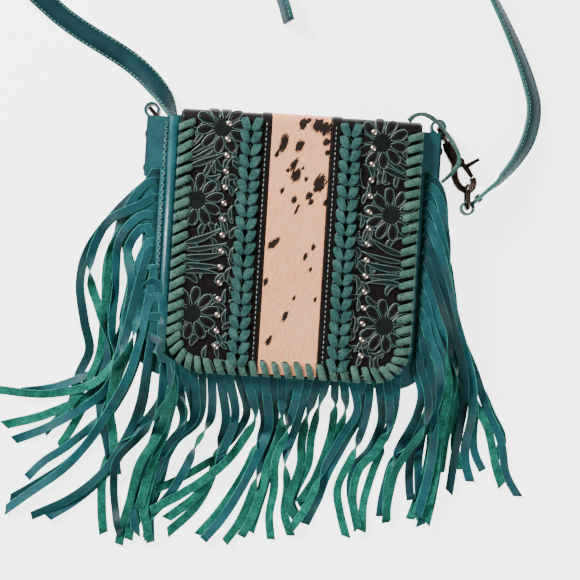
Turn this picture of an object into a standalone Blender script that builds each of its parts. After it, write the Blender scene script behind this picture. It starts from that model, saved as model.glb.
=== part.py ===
"""Fringed leather shoulder bag lying on its back, with its strap laid in a loop above it."""
import math
import random

import bmesh
import bpy
from mathutils import Matrix, Vector

MM = 0.001

# Body
BODY_HALF_W = 123.0 * MM
BODY_HALF_H = 110.0 * MM
BODY_CORNER = 26.0 * MM
BACK_T = 2.4 * MM
GUSSET_T = 2.2 * MM
GUSSET_DEPTH = 27.6 * MM
GUSSET_TOP_GAP = 1.5 * MM
FLANGE_W = 25.0 * MM
SEAM_IN = 18.0 * MM
FRONT_T = 2.6 * MM
FRONT_CORNER = 14.0 * MM
FIT = 0.3 * MM

# Flap
FLAP_SHIFT = 6.0 * MM
FLAP_HALF_W = 101.5 * MM
FLAP_LENGTH = 219.0 * MM
FLAP_CORNER = 30.0 * MM
FLAP_T = 2.5 * MM
FLAP_ROOM = 2.6 * MM
FLAP_BEHIND = 2.0 * MM
FOLD_RADIUS = 5.0 * MM
LAYER_DROP = 14.0 * MM
PANEL_T = 2.0 * MM
HIDE_T = 1.6 * MM
HIDE_HALF_W = 24.8 * MM
PANEL_INSET = 1.2 * MM

# Chevron lacing
BRAID_OFFSET = 41.8 * MM
BRAID_HALF_W = 8.2 * MM
BRAID_PITCH = 10.4 * MM
BRAID_COUNT = 19
BRAID_T = 2.2 * MM
BRAID_BACK = 1.2 * MM

# Whipstitch
LACE_DEPTH = 11.0 * MM
LACE_W = 6.0 * MM
LACE_PITCH = 9.4 * MM
LACE_T = 1.5 * MM
LACE_LEAN = 3.2 * MM
LACE_RIM = 1.4 * MM

# Studs and carving
STUD_OFFSET = 61.0 * MM
STUD_R = 2.7 * MM
STUD_RISE = 2.3 * MM
STUD_PITCH = 13.4 * MM
STUD_COUNT = 15
CARVING_RISE = 0.8 * MM
FLOWER_PETALS = 8
PETAL_LENGTH = 10.5 * MM
PETAL_W = 6.0 * MM
FLOWER_EYE = 5.6 * MM
FLOWER_OFFSET = 76.0 * MM
FLOWER_HEIGHTS = (31.0 * MM, -64.0 * MM)
LEAF_W = 3.4 * MM
LEAF_LENGTH = 22.0 * MM
# Leaves: place beside the flowers' centreline, height, heading and bend in degrees
LEAVES = (
    (-7.0 * MM, 54.0 * MM, 70.0, 30.0), (0.0 * MM, 53.0 * MM, 80.0, 10.0),
    (8.0 * MM, 52.0 * MM, 95.0, -20.0), (-6.0 * MM, 79.0 * MM, 80.0, 25.0),
    (1.0 * MM, 78.0 * MM, 85.0, 25.0), (8.0 * MM, 77.0 * MM, 90.0, 20.0),
    (-7.0 * MM, -18.0 * MM, 75.0, 25.0), (0.0 * MM, -16.0 * MM, 90.0, -10.0),
    (7.0 * MM, -18.0 * MM, 100.0, -25.0), (-7.0 * MM, -43.0 * MM, 80.0, 25.0),
    (0.0 * MM, -42.0 * MM, 85.0, 25.0), (7.0 * MM, -43.0 * MM, 95.0, -20.0),
)

# Tabs, rivets and snaps
HARDWARE_Z = 15.2 * MM
TAB_W = 16.4 * MM
TAB_T = 2.1 * MM
TAB_LENGTH = 52.0 * MM
LOOP_RISE = 5.5 * MM
LOOP_R = 4.6 * MM
RIVET_R = 3.6 * MM
RIVET_SHANK = 1.6 * MM
RIVET_HEAD = 1.6 * MM
RIVET_HEIGHTS = (94.0 * MM, 65.0 * MM)
WIRE_R = 1.3 * MM
EYE_HALF = 9.8 * MM
EYE_LENGTH = 12.5 * MM
SHANK_R = 1.5 * MM
SWIVEL_CLEAR = 0.35 * MM
COLLAR_START = 14.8 * MM
COLLAR_R = 4.4 * MM
SHAFT_MIDDLE = 18.0 * MM
HOOK_R = 2.3 * MM
GATE_T = 2.8 * MM
GATE_PIVOT = (35.5 * MM, 3.4 * MM)
RING_HALF = (9.5 * MM, 10.9 * MM)
RING_IN_HOOK = 55.8 * MM
RIGHT_SNAP_DEG = -61.0
LEFT_SNAP_DEG = -47.0
RIGHT_RING_DEG = -87.0
LEFT_RING_DEG = 41.0

# Strap
STRAP_W = 18.0 * MM
STRAP_T = 3.2 * MM
STRAP_LOOP_R = 2.4 * MM
STRAP_RIVET_BACK = 13.0 * MM
STEP = 10.0 * MM
BUCKLE_HALF = (13.0 * MM, 10.9 * MM)
ROLLER_T = 0.7 * MM
PRONG_R = 1.1 * MM
PRONG_SLOT = 1.7 * MM
KEEPER_BACK = 24.0 * MM
KEEPER_W = 8.0 * MM
KEEPER_T = 1.5 * MM

# Magnetic closure
MAGNET_R = 8.0 * MM
MAGNET_T = 0.9 * MM
MAGNET_Y = -78.0 * MM

# Fringe
STRAND_W = 6.9 * MM
STRAND_T = 1.0 * MM
STRAND_SLIT = 0.7 * MM
HEADER_W = 5.5 * MM
HEADER_T = 1.6 * MM
SIDE_STRANDS = 20
BOTTOM_STRANDS = 25
STRAND_SEGMENTS = 8
ROUTE_POINTS = 88
STRAND_GAP = 0.2 * MM
STRAND_FALL = 0.9
FIRST_RISE = 7.0 * MM
MOST_LIFT = 3.0 * MM
LAYINGS = 4
HEAP_CELL = 1.5 * MM
NEAR_REACH = 2.9 * MM
FAR_REACH = 4.4 * MM

# How the pieces lie on the table: picture points, their scale, and the bag's turn among them
PICTURE_SCALE = 0.85 * MM
PICTURE_ORIGIN = (287.0, 252.5)
BAG_TURN = math.radians(3.5)

# Levels and edges worked out from the sizes above
GUSSET_LOW = BACK_T + FIT
GUSSET_TOP = GUSSET_LOW + GUSSET_DEPTH
FRONT_LOW = GUSSET_TOP + FIT
FRONT_TOP = FRONT_LOW + FRONT_T
FLAP_LOW = FRONT_TOP + FLAP_ROOM
FLAP_IN_Y = BODY_HALF_H + FLAP_BEHIND
FLAP_TOP_Y = FLAP_IN_Y + FLAP_T
FLAP_END_Y = FLAP_TOP_Y - FLAP_LENGTH
LAYER_LOW = FLAP_T + FIT
LAYER_TOP = LAYER_LOW + PANEL_T
FRONT_HALF_W = BODY_HALF_W - SEAM_IN
FRONT_END_Y = SEAM_IN - BODY_HALF_H
HINGE_Z = 1.5 * MM
FLAP_PIECES = ("flap", "tooled_panel_left", "tooled_panel_right", "hair_strip",
               "chevron_lacing_left", "chevron_lacing_right", "whipstitch", "magnet_flap")

LEATHER = (0.018, 0.135, 0.15)
SUEDE = (0.02, 0.25, 0.19)
DARK = (0.022, 0.016, 0.014)
LACE = (0.10, 0.25, 0.21)
HIDE = (0.78, 0.55, 0.44)
BRONZE = (0.055, 0.04, 0.035)
SILVER = (0.62, 0.52, 0.50)


def on_table(point):
    """Place of a picture point in the bag's frame, on the table."""
    x = (point[0] - PICTURE_ORIGIN[0]) * PICTURE_SCALE
    y = (PICTURE_ORIGIN[1] - point[1]) * PICTURE_SCALE
    return Vector((x, y)).to_3d() @ Matrix.Rotation(-BAG_TURN, 3, "Z")


def make_material(name, colour, roughness, metallic):
    material = bpy.data.materials.new(name)
    material.use_nodes = True
    shader = material.node_tree.nodes["Principled BSDF"]
    shader.inputs["Base Color"].default_value = (*colour, 1.0)
    shader.inputs["Roughness"].default_value = roughness
    shader.inputs["Metallic"].default_value = metallic
    return material


def new_collection(name):
    collection = bpy.data.collections.new(name)
    bpy.context.scene.collection.children.link(collection)
    return collection


for old in list(bpy.data.objects):
    bpy.data.objects.remove(old)
PARTS = new_collection("fringed_bag")
CUTTERS = new_collection("cutters")


def add_object(name, mesh, look=None, collection=None):
    """New object; a look is a name, colour, roughness and metallic value."""
    thing = bpy.data.objects.new(name, mesh)
    (collection or PARTS).objects.link(thing)
    if look:
        mesh.materials.clear()
        mesh.materials.append(make_material(name + "_look", *look))
    return thing


def from_bmesh(name, bm, look=None, collection=None):
    bmesh.ops.recalc_face_normals(bm, faces=bm.faces)
    mesh = bpy.data.meshes.new(name)
    bm.to_mesh(mesh)
    bm.free()
    return add_object(name, mesh, look, collection)


def from_curve(name, curve, look, matrix, collection):
    """Mesh object of a curve, with its caps welded."""
    guide = bpy.data.objects.new(name + "_curve", curve)
    CUTTERS.objects.link(guide)
    guide.matrix_world = matrix
    bpy.context.view_layer.update()
    ready = guide.evaluated_get(bpy.context.evaluated_depsgraph_get())
    mesh = bpy.data.meshes.new_from_object(ready)
    bpy.data.objects.remove(guide)
    bm = bmesh.new()
    bm.from_mesh(mesh)
    bpy.data.meshes.remove(mesh)
    bmesh.ops.remove_doubles(bm, verts=bm.verts, dist=1e-6)
    bmesh.ops.transform(bm, matrix=matrix, verts=bm.verts)
    return from_bmesh(name, bm, look, collection)


def plate(name, outlines, low, high, look=None, matrix=Matrix(), collection=None):
    """Flat outlines, the first the rim and the rest its holes, from one height to another."""
    curve = bpy.data.curves.new(name, "CURVE")
    curve.dimensions = "2D"
    curve.fill_mode = "BOTH"
    curve.extrude = (high - low) / 2
    for outline in outlines:
        spline = curve.splines.new("POLY")
        spline.points.add(len(outline) - 1)
        for point, place in zip(spline.points, outline):
            point.co = (place[0], place[1], 0.0, 1.0)
        spline.use_cyclic_u = True
    lift = Matrix.Translation((0.0, 0.0, (low + high) / 2))
    return from_curve(name, curve, look, matrix @ lift, collection)


def wire(name, points, radius, look=None, matrix=Matrix(), cyclic=False, sides=2, collection=None):
    curve = bpy.data.curves.new(name, "CURVE")
    curve.dimensions = "3D"
    curve.bevel_depth = radius
    curve.bevel_resolution = sides
    curve.use_fill_caps = True
    spline = curve.splines.new("POLY")
    spline.points.add(len(points) - 1)
    for point, place in zip(spline.points, points):
        point.co = (*place, 1.0)
    spline.use_cyclic_u = cyclic
    return from_curve(name, curve, look, matrix, collection)


def turned(name, profile, look=None, matrix=Matrix(), steps=12, collection=None):
    """Solid of revolution about Z from a profile of radii and heights, top to bottom."""
    bm = bmesh.new()
    ring = [bm.verts.new((radius, 0.0, height)) for radius, height in profile]
    for first, second in zip(ring, ring[1:]):
        bm.edges.new((first, second))
    thing = from_bmesh(name, bm, look, collection)
    screw = thing.modifiers.new("turn", "SCREW")
    screw.steps = steps
    screw.render_steps = steps
    screw.use_merge_vertices = True
    screw.merge_threshold = 0.00001
    thing.matrix_world = matrix
    return thing


def baked(thing, collection=None):
    """Same object with its modifiers and place made part of the mesh."""
    bpy.context.view_layer.update()
    ready = thing.evaluated_get(bpy.context.evaluated_depsgraph_get())
    mesh = bpy.data.meshes.new_from_object(ready)
    mesh.transform(thing.matrix_world)
    name = thing.name
    bpy.data.objects.remove(thing)
    fresh = bpy.data.objects.new(name, mesh)
    (collection or PARTS).objects.link(fresh)
    return fresh


def combine(thing, others, operation):
    """Unites, cuts or intersects with the others, one after another, then removes them."""
    for other in others:
        change = thing.modifiers.new("combine", "BOOLEAN")
        change.operation = operation
        change.object = other
        change.solver = "EXACT"
        thing = baked(thing)
        bpy.data.objects.remove(other)
    return thing


def joined(name, things):
    """One cutter mesh that holds several solids which don't touch."""
    bm = bmesh.new()
    for thing in things:
        bpy.context.view_layer.update()
        ready = thing.evaluated_get(bpy.context.evaluated_depsgraph_get())
        mesh = bpy.data.meshes.new_from_object(ready)
        mesh.transform(thing.matrix_world)
        bm.from_mesh(mesh)
        bpy.data.meshes.remove(mesh)
        bpy.data.objects.remove(thing)
    return from_bmesh(name, bm, None, CUTTERS)


def hang(name, place, names):
    """Empty on a joint's axis that carries the named pieces, which stay where they are."""
    empty = bpy.data.objects.new(name, None)
    PARTS.objects.link(empty)
    empty.location = place
    bpy.context.view_layer.update()
    for piece in names:
        thing = bpy.data.objects[piece]
        thing.parent = empty
        thing.matrix_parent_inverse = empty.matrix_world.inverted()


def arc(centre, radius, start, end, count):
    """Points on an arc, angles in degrees."""
    turns = [math.radians(start + (end - start) * i / count) for i in range(count + 1)]
    return [(centre[0] + radius * math.cos(a), centre[1] + radius * math.sin(a)) for a in turns]


def sheet_outline(half_w, top, bottom, corner, shift=0.0, count=7):
    """Square top corners, round bottom corners, anticlockwise from the top right."""
    left = arc((shift - half_w + corner, bottom + corner), corner, 180.0, 270.0, count)
    right = arc((shift + half_w - corner, bottom + corner), corner, 270.0, 360.0, count)
    return [(shift + half_w, top), (shift - half_w, top)] + left + right


def make_body():
    look = (LEATHER, 0.5, 0.0)
    corner = BODY_CORNER
    outer = sheet_outline(BODY_HALF_W, BODY_HALF_H, -BODY_HALF_H, corner)
    plate("back_panel", [outer], 0.0, BACK_T, look)
    top = BODY_HALF_H - GUSSET_TOP_GAP
    wall_out = sheet_outline(BODY_HALF_W, top, -BODY_HALF_H, corner)
    wall_in = sheet_outline(BODY_HALF_W - GUSSET_T, top, GUSSET_T - BODY_HALF_H, corner - GUSSET_T)
    flange_in = sheet_outline(BODY_HALF_W - FLANGE_W, top, FLANGE_W - BODY_HALF_H, FRONT_CORNER)
    wall = plate("gusset", [wall_out[1:] + wall_out[:1] + wall_in[:1] + wall_in[:0:-1]],
                 GUSSET_LOW, GUSSET_TOP, look)
    flange = plate("flange", [wall_out[1:] + wall_out[:1] + flange_in[:1] + flange_in[:0:-1]],
                   GUSSET_TOP - GUSSET_T, GUSSET_TOP, None, collection=CUTTERS)
    gusset = combine(wall, [flange], "UNION")
    front = sheet_outline(FRONT_HALF_W, BODY_HALF_H, FRONT_END_Y, FRONT_CORNER)
    plate("front_panel", [front], FRONT_LOW, FRONT_TOP, look)
    return gusset


def flap_layer(name, low, high, x_from, x_to, inset, end_z, look=None, collection=None):
    """A layer bent over the flap's fold, cut to the flap's outline; low and high are offsets."""
    bend = (FLAP_IN_Y - FOLD_RADIUS, FLAP_LOW - FOLD_RADIUS)
    outer = arc(bend, FOLD_RADIUS + high, 90.0, 0.0, 5)
    inner = arc(bend, FOLD_RADIUS + low, 0.0, 90.0, 5)
    start = FLAP_END_Y - 2 * inset
    profile = [(start, FLAP_LOW + high), *outer, (FLAP_IN_Y + high, end_z)]
    profile += [(FLAP_IN_Y + low, end_z), *inner, (start, FLAP_LOW + low)]
    along_x = Matrix(((0, 0, 1, 0), (1, 0, 0, 0), (0, 1, 0, 0), (0, 0, 0, 1)))
    layer = plate(name, [profile], x_from, x_to, look, along_x, collection)
    outline = sheet_outline(FLAP_HALF_W - inset, FLAP_IN_Y + high + FLAP_T, FLAP_END_Y + inset,
                            FLAP_CORNER - inset, FLAP_SHIFT)
    cutter = plate(name + "_outline", [outline], -FLAP_T, FLAP_LOW + 2 * high, None,
                   collection=CUTTERS)
    return combine(layer, [cutter], "INTERSECT")


def petal(centre, angle, length, width):
    """Teardrop outline pointing away from a centre."""
    along = Vector((math.cos(angle), math.sin(angle)))
    across = Vector((-along.y, along.x))
    shape = ((0.0, 0.12), (0.5, 0.46), (0.85, 0.42), (1.0, 0.0))
    right = [(u, -v) for u, v in shape[:-1]]
    left = [(u, v) for u, v in reversed(shape)]
    points = [Vector(centre) + along * (length * u) + across * (width * v) for u, v in right + left]
    return [tuple(point) for point in points]


def crescent(start, heading, bend, length, width, count=4):
    """Leaf that curls as it runs; the heading and the bend are in degrees."""
    spine = [Vector(start)]
    sides = []
    for i in range(count + 1):
        angle = math.radians(heading + bend * i / count)
        across = Vector((-math.sin(angle), math.cos(angle)))
        half = width / 2 * math.sin(math.pi * (i + 0.35) / (count + 0.7))
        sides.append((spine[-1] + across * half, spine[-1] - across * half))
        spine.append(spine[-1] + Vector((math.cos(angle), math.sin(angle))) * length / count)
    return [tuple(a) for a, b in sides] + [tuple(b) for a, b in reversed(sides)]


def carving(side):
    """Outlines of the flowers and leaves on one tooled panel."""
    outlines = []
    for height in FLOWER_HEIGHTS:
        centre = (FLAP_SHIFT + side * FLOWER_OFFSET, height)
        outlines.append(arc(centre, FLOWER_EYE, 0.0, 324.0, 9))
        for i in range(FLOWER_PETALS):
            angle = math.tau * (i + 0.3) / FLOWER_PETALS
            foot = (centre[0] + 1.25 * FLOWER_EYE * math.cos(angle),
                    centre[1] + 1.25 * FLOWER_EYE * math.sin(angle))
            reach = PETAL_LENGTH * (0.62 if abs(math.cos(angle)) > 0.75 else 1.0)
            outlines.append(petal(foot, angle, reach, PETAL_W))
    for aside, foot_y, heading, bend in LEAVES:
        x = FLAP_SHIFT + side * (FLOWER_OFFSET + aside)
        turn = heading if side > 0 else 180.0 - heading
        outlines.append(crescent((x, foot_y), turn, side * bend, LEAF_LENGTH, LEAF_W))
    return outlines


def dome(name, centre, radius, rise):
    """Round stud head whose flat side lies just inside its panel."""
    profile = [(0.0, rise), (radius * 0.7, rise * 0.72), (radius, -CARVING_RISE),
               (0.0, -CARVING_RISE)]
    return turned(name, profile, None, Matrix.Translation(centre), 8, CUTTERS)


def make_flap():
    dark = (DARK, 0.55, 0.0)
    edge = FLAP_SHIFT + FLAP_HALF_W
    flap_layer("flap", 0.0, FLAP_T, edge - 2 * FLAP_HALF_W, edge, 0.0, FIT, dark)
    plate("magnet_flap", [arc((FLAP_SHIFT, MAGNET_Y), MAGNET_R, 0.0, 342.0, 19)],
          FLAP_LOW - FIT - MAGNET_T, FLAP_LOW - FIT, (BRONZE, 0.35, 1.0))
    plate("magnet_front", [arc((FLAP_SHIFT, MAGNET_Y), MAGNET_R, 0.0, 342.0, 19)],
          FRONT_TOP + FIT, FRONT_TOP + FIT + MAGNET_T, (BRONZE, 0.35, 1.0))
    drop = FLAP_LOW - LAYER_DROP
    flap_layer("hair_strip", LAYER_LOW, LAYER_LOW + HIDE_T, FLAP_SHIFT - HIDE_HALF_W,
               FLAP_SHIFT + HIDE_HALF_W, PANEL_INSET, drop, (HIDE, 0.8, 0.0))
    for side, word in ((-1, "left"), (1, "right")):
        near = FLAP_SHIFT + side * (HIDE_HALF_W + FIT)
        far = FLAP_SHIFT + side * (FLAP_HALF_W - PANEL_INSET)
        panel = flap_layer("tooled_panel_" + word, LAYER_LOW, LAYER_TOP, min(near, far),
                           max(near, far), PANEL_INSET, drop, dark)
        face = FLAP_LOW + LAYER_TOP
        carved = []
        for i, outline in enumerate(carving(side)):
            carved.append(plate("shape_%d" % i, [outline], face - CARVING_RISE,
                                face + CARVING_RISE, None, collection=CUTTERS))
        studs = []
        top = FLAP_TOP_Y - FOLD_RADIUS - STUD_R - 2 * MM
        for i in range(STUD_COUNT):
            spot = (FLAP_SHIFT + side * STUD_OFFSET, top - i * STUD_PITCH, face)
            studs.append(dome("stud_%d" % i, spot, STUD_R, STUD_RISE))
        combine(panel, [joined("carved", carved), joined("studs", studs)], "UNION")


def braid_side(centre_x, top, side):
    """One side of the lacing from the top down: a leaf-shaped half of each V, then a slit."""
    leaf = ((BRAID_BACK, 0.74), (0.8 * BRAID_HALF_W, 1.25), (BRAID_HALF_W, 0.95), (BRAID_BACK, 0.06))
    points = []
    for i in range(BRAID_COUNT):
        tip = top - (i + 1.3) * BRAID_PITCH
        points += [(centre_x + side * x, tip + BRAID_PITCH * y) for x, y in leaf]
    return points


def make_braids():
    low = FLAP_LOW + LAYER_TOP + FIT
    for side, word in ((-1, "left"), (1, "right")):
        x = FLAP_SHIFT + side * BRAID_OFFSET
        top = FLAP_TOP_Y - FOLD_RADIUS - 1.0 * MM
        outline = braid_side(x, top, 1) + braid_side(x, top, -1)[::-1]
        plate("chevron_lacing_" + word, [outline], low, low + BRAID_T, (LACE, 0.75, 0.0))


def rim_path(inset):
    """Flap's edge from the top left, round the bottom, to the top right."""
    top = FLAP_IN_Y - FOLD_RADIUS
    outline = sheet_outline(FLAP_HALF_W - inset, top, FLAP_END_Y + inset, FLAP_CORNER - inset,
                            FLAP_SHIFT, 10)
    return [Vector(p) for p in outline[1:] + outline[:1]]


def point_along(path, distance):
    """Place and heading at a distance along a path."""
    for first, second in zip(path, path[1:]):
        run = (second - first).length
        if distance <= run or second is path[-1]:
            heading = (second - first).normalized()
            return first + heading * distance, heading
        distance -= run
    return path[-1], heading


def make_whipstitch():
    path = rim_path(0.0)
    total = sum((b - a).length for a, b in zip(path, path[1:]))
    count = int(total / LACE_PITCH)
    inner = []
    for i in range(count):
        middle = (i + 0.5) * total / count
        for step, depth in ((-0.5, 0.0), (-0.5, 1.0), (0.5, 1.0), (0.5, 0.0)):
            along = middle + step * LACE_W
            place, heading = point_along(path, along)
            inward = Vector((-heading.y, heading.x))
            reach = LACE_RIM / 2 + depth * (LACE_DEPTH - LACE_RIM)
            inner.append(tuple(place + inward * reach + heading * (LACE_LEAN * (0.5 - depth))))
    start, end = path[0], path[-1]
    inner = [(start.x + LACE_RIM / 2, start.y)] + inner + [(end.x - LACE_RIM / 2, end.y)]
    outer = [tuple(p) for p in reversed(rim_path(-LACE_RIM))]
    top = FLAP_LOW + LAYER_TOP + FIT
    lace = plate("whipstitch", [inner + outer], top, top + LACE_T, (LACE, 0.75, 0.0))
    near = [tuple(p) for p in rim_path(-FIT)]
    rim = plate("rim", [near + outer], FLAP_LOW, top + LACE_T / 2, None, collection=CUTTERS)
    return combine(lace, [rim], "UNION")


def rivet(name, centre, axis, grip):
    """Rivet with a dome at each end, along a level axis."""
    half = grip / 2 + FIT
    top = [(0.0, half + RIVET_HEAD), (RIVET_R * 0.7, half + RIVET_HEAD * 0.75),
           (RIVET_R, half), (RIVET_SHANK, half)]
    profile = top + [(r, -z) for r, z in reversed(top)]
    turn = Vector((0.0, 0.0, 1.0)).rotation_difference(axis).to_matrix().to_4x4()
    place = Matrix.Translation(centre) @ turn
    piece = turned(name, profile, (BRONZE, 0.35, 1.0), place)
    hole = [(0.0, half), (RIVET_SHANK + FIT, half), (RIVET_SHANK + FIT, -half), (0.0, -half)]
    return piece, turned(name + "_hole", hole, None, place, 12, CUTTERS)


def tab_outline(side):
    """Folded strip over the gusset's top edge, seen along Z, with a round loop above the edge."""
    wall = BODY_HALF_W - GUSSET_T / 2
    gap = GUSSET_T / 2 + FIT
    top = BODY_HALF_H - GUSSET_TOP_GAP
    foot = BODY_HALF_H - TAB_LENGTH
    outside = [(gap + TAB_T, foot), (gap + TAB_T, top)]
    outside += arc((0.0, top + LOOP_RISE), LOOP_R + TAB_T, -30.0, 210.0, 12)
    outside += [(-gap - TAB_T, top), (-gap - TAB_T, foot)]
    inside = [(-gap, foot), (-gap, top + 1.2 * MM)]
    inside += arc((0.0, top + LOOP_RISE), LOOP_R, 222.0, -42.0, 12)
    inside += [(gap, top + 1.2 * MM), (gap, foot)]
    return [(side * (wall + x), y) for x, y in outside + inside]


def make_tabs(gusset):
    wall = BODY_HALF_W - GUSSET_T / 2
    grip = GUSSET_T + 2 * (TAB_T + FIT)
    gusset_holes = []
    for side, word in ((-1, "left"), (1, "right")):
        tab = plate("tab_" + word, [tab_outline(side)], HARDWARE_Z - TAB_W / 2,
                    HARDWARE_Z + TAB_W / 2, (LEATHER, 0.5, 0.0))
        tab_holes = []
        for i, height in enumerate(RIVET_HEIGHTS):
            name = "tab_rivet_%s_%d" % (word, i + 1)
            place = Vector((side * wall, height, HARDWARE_Z))
            _, hole = rivet(name, place, Vector((side, 0.0, 0.0)), grip)
            gusset_holes.append(hole.copy())
            CUTTERS.objects.link(gusset_holes[-1])
            tab_holes.append(hole)
        combine(tab, tab_holes, "DIFFERENCE")
    return combine(gusset, gusset_holes, "DIFFERENCE")


def snap_frame(side):
    """Snap's own frame: X along it from the eye's bar, Y to the gate's side, Z up."""
    wall = BODY_HALF_W - GUSSET_T / 2
    bar = Vector((side * (wall + 1.0 * MM), BODY_HALF_H - GUSSET_TOP_GAP + LOOP_RISE + 0.8 * MM,
                  HARDWARE_Z))
    degrees = RIGHT_SNAP_DEG if side > 0 else LEFT_SNAP_DEG
    frame = Matrix.Translation(bar) @ Matrix.Rotation(math.radians(degrees), 4, "Z")
    if side < 0:
        frame = frame @ Matrix.Rotation(math.pi, 4, "X")
    return frame


def make_snap(side, word):
    metal = (BRONZE, 0.35, 1.0)
    frame = snap_frame(side)
    bend = EYE_LENGTH - 3.5 * MM
    loop = [(0.0, 0.0, -EYE_HALF), (0.0, 0.0, EYE_HALF), (bend, 0.0, EYE_HALF),
            (EYE_LENGTH, 0.0, 4.0 * MM), (EYE_LENGTH, 0.0, -4.0 * MM), (bend, 0.0, -EYE_HALF)]
    eye = wire("snap_eye_" + word, loop, WIRE_R, metal, frame, cyclic=True)
    along = frame @ Matrix.Rotation(math.pi / 2, 4, "Y")
    head = COLLAR_R * 0.62
    shaft = [(0.0, 24.0 * MM), (head, 24.0 * MM), (head, 22.0 * MM), (SHANK_R, 22.0 * MM),
             (SHANK_R, EYE_LENGTH - WIRE_R / 2), (0.0, EYE_LENGTH - WIRE_R / 2)]
    combine(eye, [turned("shaft", shaft, None, along, 12, CUTTERS)], "UNION")
    bore = SHANK_R + SWIVEL_CLEAR
    room = head + SWIVEL_CLEAR
    far = 25.0 * MM
    collar = [(0.0, 31.0 * MM), (COLLAR_R, 31.0 * MM), (COLLAR_R, 20.0 * MM),
              (COLLAR_R - 1.0 * MM, COLLAR_START), (bore, COLLAR_START),
              (bore, 22.0 * MM - SWIVEL_CLEAR), (room, 22.0 * MM - SWIVEL_CLEAR), (room, far),
              (0.0, far)]
    body = turned("snap_body_" + word, collar, metal, along, 12)
    hook = [(28.0, 0.0), (34.0, -1.6), (40.0, -4.6), (45.0, -6.4), (50.0, -6.8), (54.5, -5.8),
            (58.2, -3.4), (59.9, 0.0), (58.6, 3.6), (55.8, 6.0), (52.0, 7.0)]
    bar = wire("hook", [(x * MM, y * MM, 0.0) for x, y in hook], HOOK_R, None, frame,
               collection=CUTTERS)
    pivot_x, pivot_y = GATE_PIVOT
    cheek = [(29.0 * MM, -3.6 * MM), (37.0 * MM, -4.5 * MM), (38.5 * MM, 0.5 * MM),
             (38.0 * MM, 5.4 * MM), (34.5 * MM, 6.4 * MM), (29.0 * MM, 3.9 * MM)]
    cheeks = plate("cheeks", [cheek], -3.4 * MM, 3.4 * MM, None, frame, CUTTERS)
    body = combine(body, [bar, cheeks], "UNION")
    slot = [(31.6 * MM, -0.6 * MM), (45.0 * MM, -0.6 * MM), (45.0 * MM, 12.0 * MM),
            (31.6 * MM, 12.0 * MM)]
    slot_half = GATE_T / 2 + FIT
    body = combine(body, [plate("slot", [slot], -slot_half, slot_half, None, frame, CUTTERS)],
                   "DIFFERENCE")
    pin = arc(GATE_PIVOT, 1.0 * MM, 0.0, 330.0, 11)
    combine(body, [plate("pin", [pin], -3.0 * MM, 3.0 * MM, None, frame, CUTTERS)], "UNION")
    root = arc(GATE_PIVOT, 2.6 * MM, 75.0, 290.0, 9)
    gate = [(50.9 * MM, 5.6 * MM), (50.3 * MM, 8.2 * MM),
            (42.0 * MM, 8.0 * MM), (40.6 * MM, 18.8 * MM), (38.4 * MM, 18.6 * MM),
            (38.6 * MM, 6.6 * MM)]
    gate_outline = gate + root + [(39.5 * MM, 3.2 * MM)]
    hole = arc(GATE_PIVOT, 1.0 * MM + FIT, 330.0, 0.0, 11)
    lever = plate("snap_gate_" + word, [gate_outline, hole], -GATE_T / 2, GATE_T / 2, metal, frame)
    pivot = frame @ Vector((pivot_x, pivot_y, 0.0))
    lever.data.transform(Matrix.Translation(-pivot))
    lever.location = pivot
    hang("swivel_" + word, frame @ Vector((SHAFT_MIDDLE, 0.0, 0.0)),
         ["snap_body_" + word, "snap_gate_" + word])


def ring_frame(side):
    """Ring's own frame: its near bar stands at the origin and it runs along X."""
    near = snap_frame(side) @ Vector((RING_IN_HOOK, 0.0, 0.0))
    degrees = RIGHT_RING_DEG if side > 0 else LEFT_RING_DEG
    return Matrix.Translation(near) @ Matrix.Rotation(math.radians(degrees), 4, "Z")


def make_ring(side, word):
    long, tall = RING_HALF
    corner = 4.0 * MM
    spots = arc((2 * long - corner, tall - corner), corner, 0.0, 90.0, 3)
    spots += arc((corner, tall - corner), corner, 90.0, 180.0, 3)
    spots += arc((corner, corner - tall), corner, 180.0, 270.0, 3)
    spots += arc((2 * long - corner, corner - tall), corner, 270.0, 360.0, 3)
    points = [(x, 0.0, z) for x, z in spots]
    wire("oval_ring_" + word, points, WIRE_R, (BRONZE, 0.35, 1.0), ring_frame(side), cyclic=True)


def smooth_route(stations, step):
    """Evenly spaced stations on a smooth curve through the given ones."""
    knots = [Vector(s) for s in stations]
    knots = [2 * knots[0] - knots[1]] + knots + [2 * knots[-1] - knots[-2]]
    fine = []
    for p0, p1, p2, p3 in zip(knots, knots[1:], knots[2:], knots[3:]):
        parts = max(2, round((p2 - p1).to_3d().length / step))
        for i in range(parts):
            t = i / parts
            fine.append(0.5 * (2 * p1 + (p2 - p0) * t + (2 * p0 - 5 * p1 + 4 * p2 - p3) * t * t
                               + (3 * p1 - p0 - 3 * p2 + p3) * t ** 3))
    fine.append(Vector(stations[-1]))
    return fine


def band(name, stations, width, thickness, look):
    """Flat strip along stations of X, Y, Z and roll in degrees, as a loft of its section."""
    bm = bmesh.new()
    rings = []
    for i, station in enumerate(stations):
        before = stations[max(0, i - 1)].to_3d()
        after = stations[min(len(stations) - 1, i + 1)].to_3d()
        heading = (after - before).normalized()
        level = Vector((-heading.y, heading.x, 0.0)).normalized()
        across = Matrix.Rotation(math.radians(station[3]), 3, heading) @ level
        normal = heading.cross(across)
        corners = ((-1, -1), (1, -1), (1, 1), (-1, 1))
        centre = station.to_3d()
        rings.append([bm.verts.new(centre + across * (a * width / 2) + normal * (b * thickness / 2))
                      for a, b in corners])
    for first, second in zip(rings, rings[1:]):
        for i in range(4):
            j = (i + 1) % 4
            bm.faces.new((first[i], first[j], second[j], second[i]))
    bm.faces.new(rings[0])
    bm.faces.new(list(reversed(rings[-1])))
    bmesh.ops.triangulate(bm, faces=bm.faces)
    return from_bmesh(name, bm, look)


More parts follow.
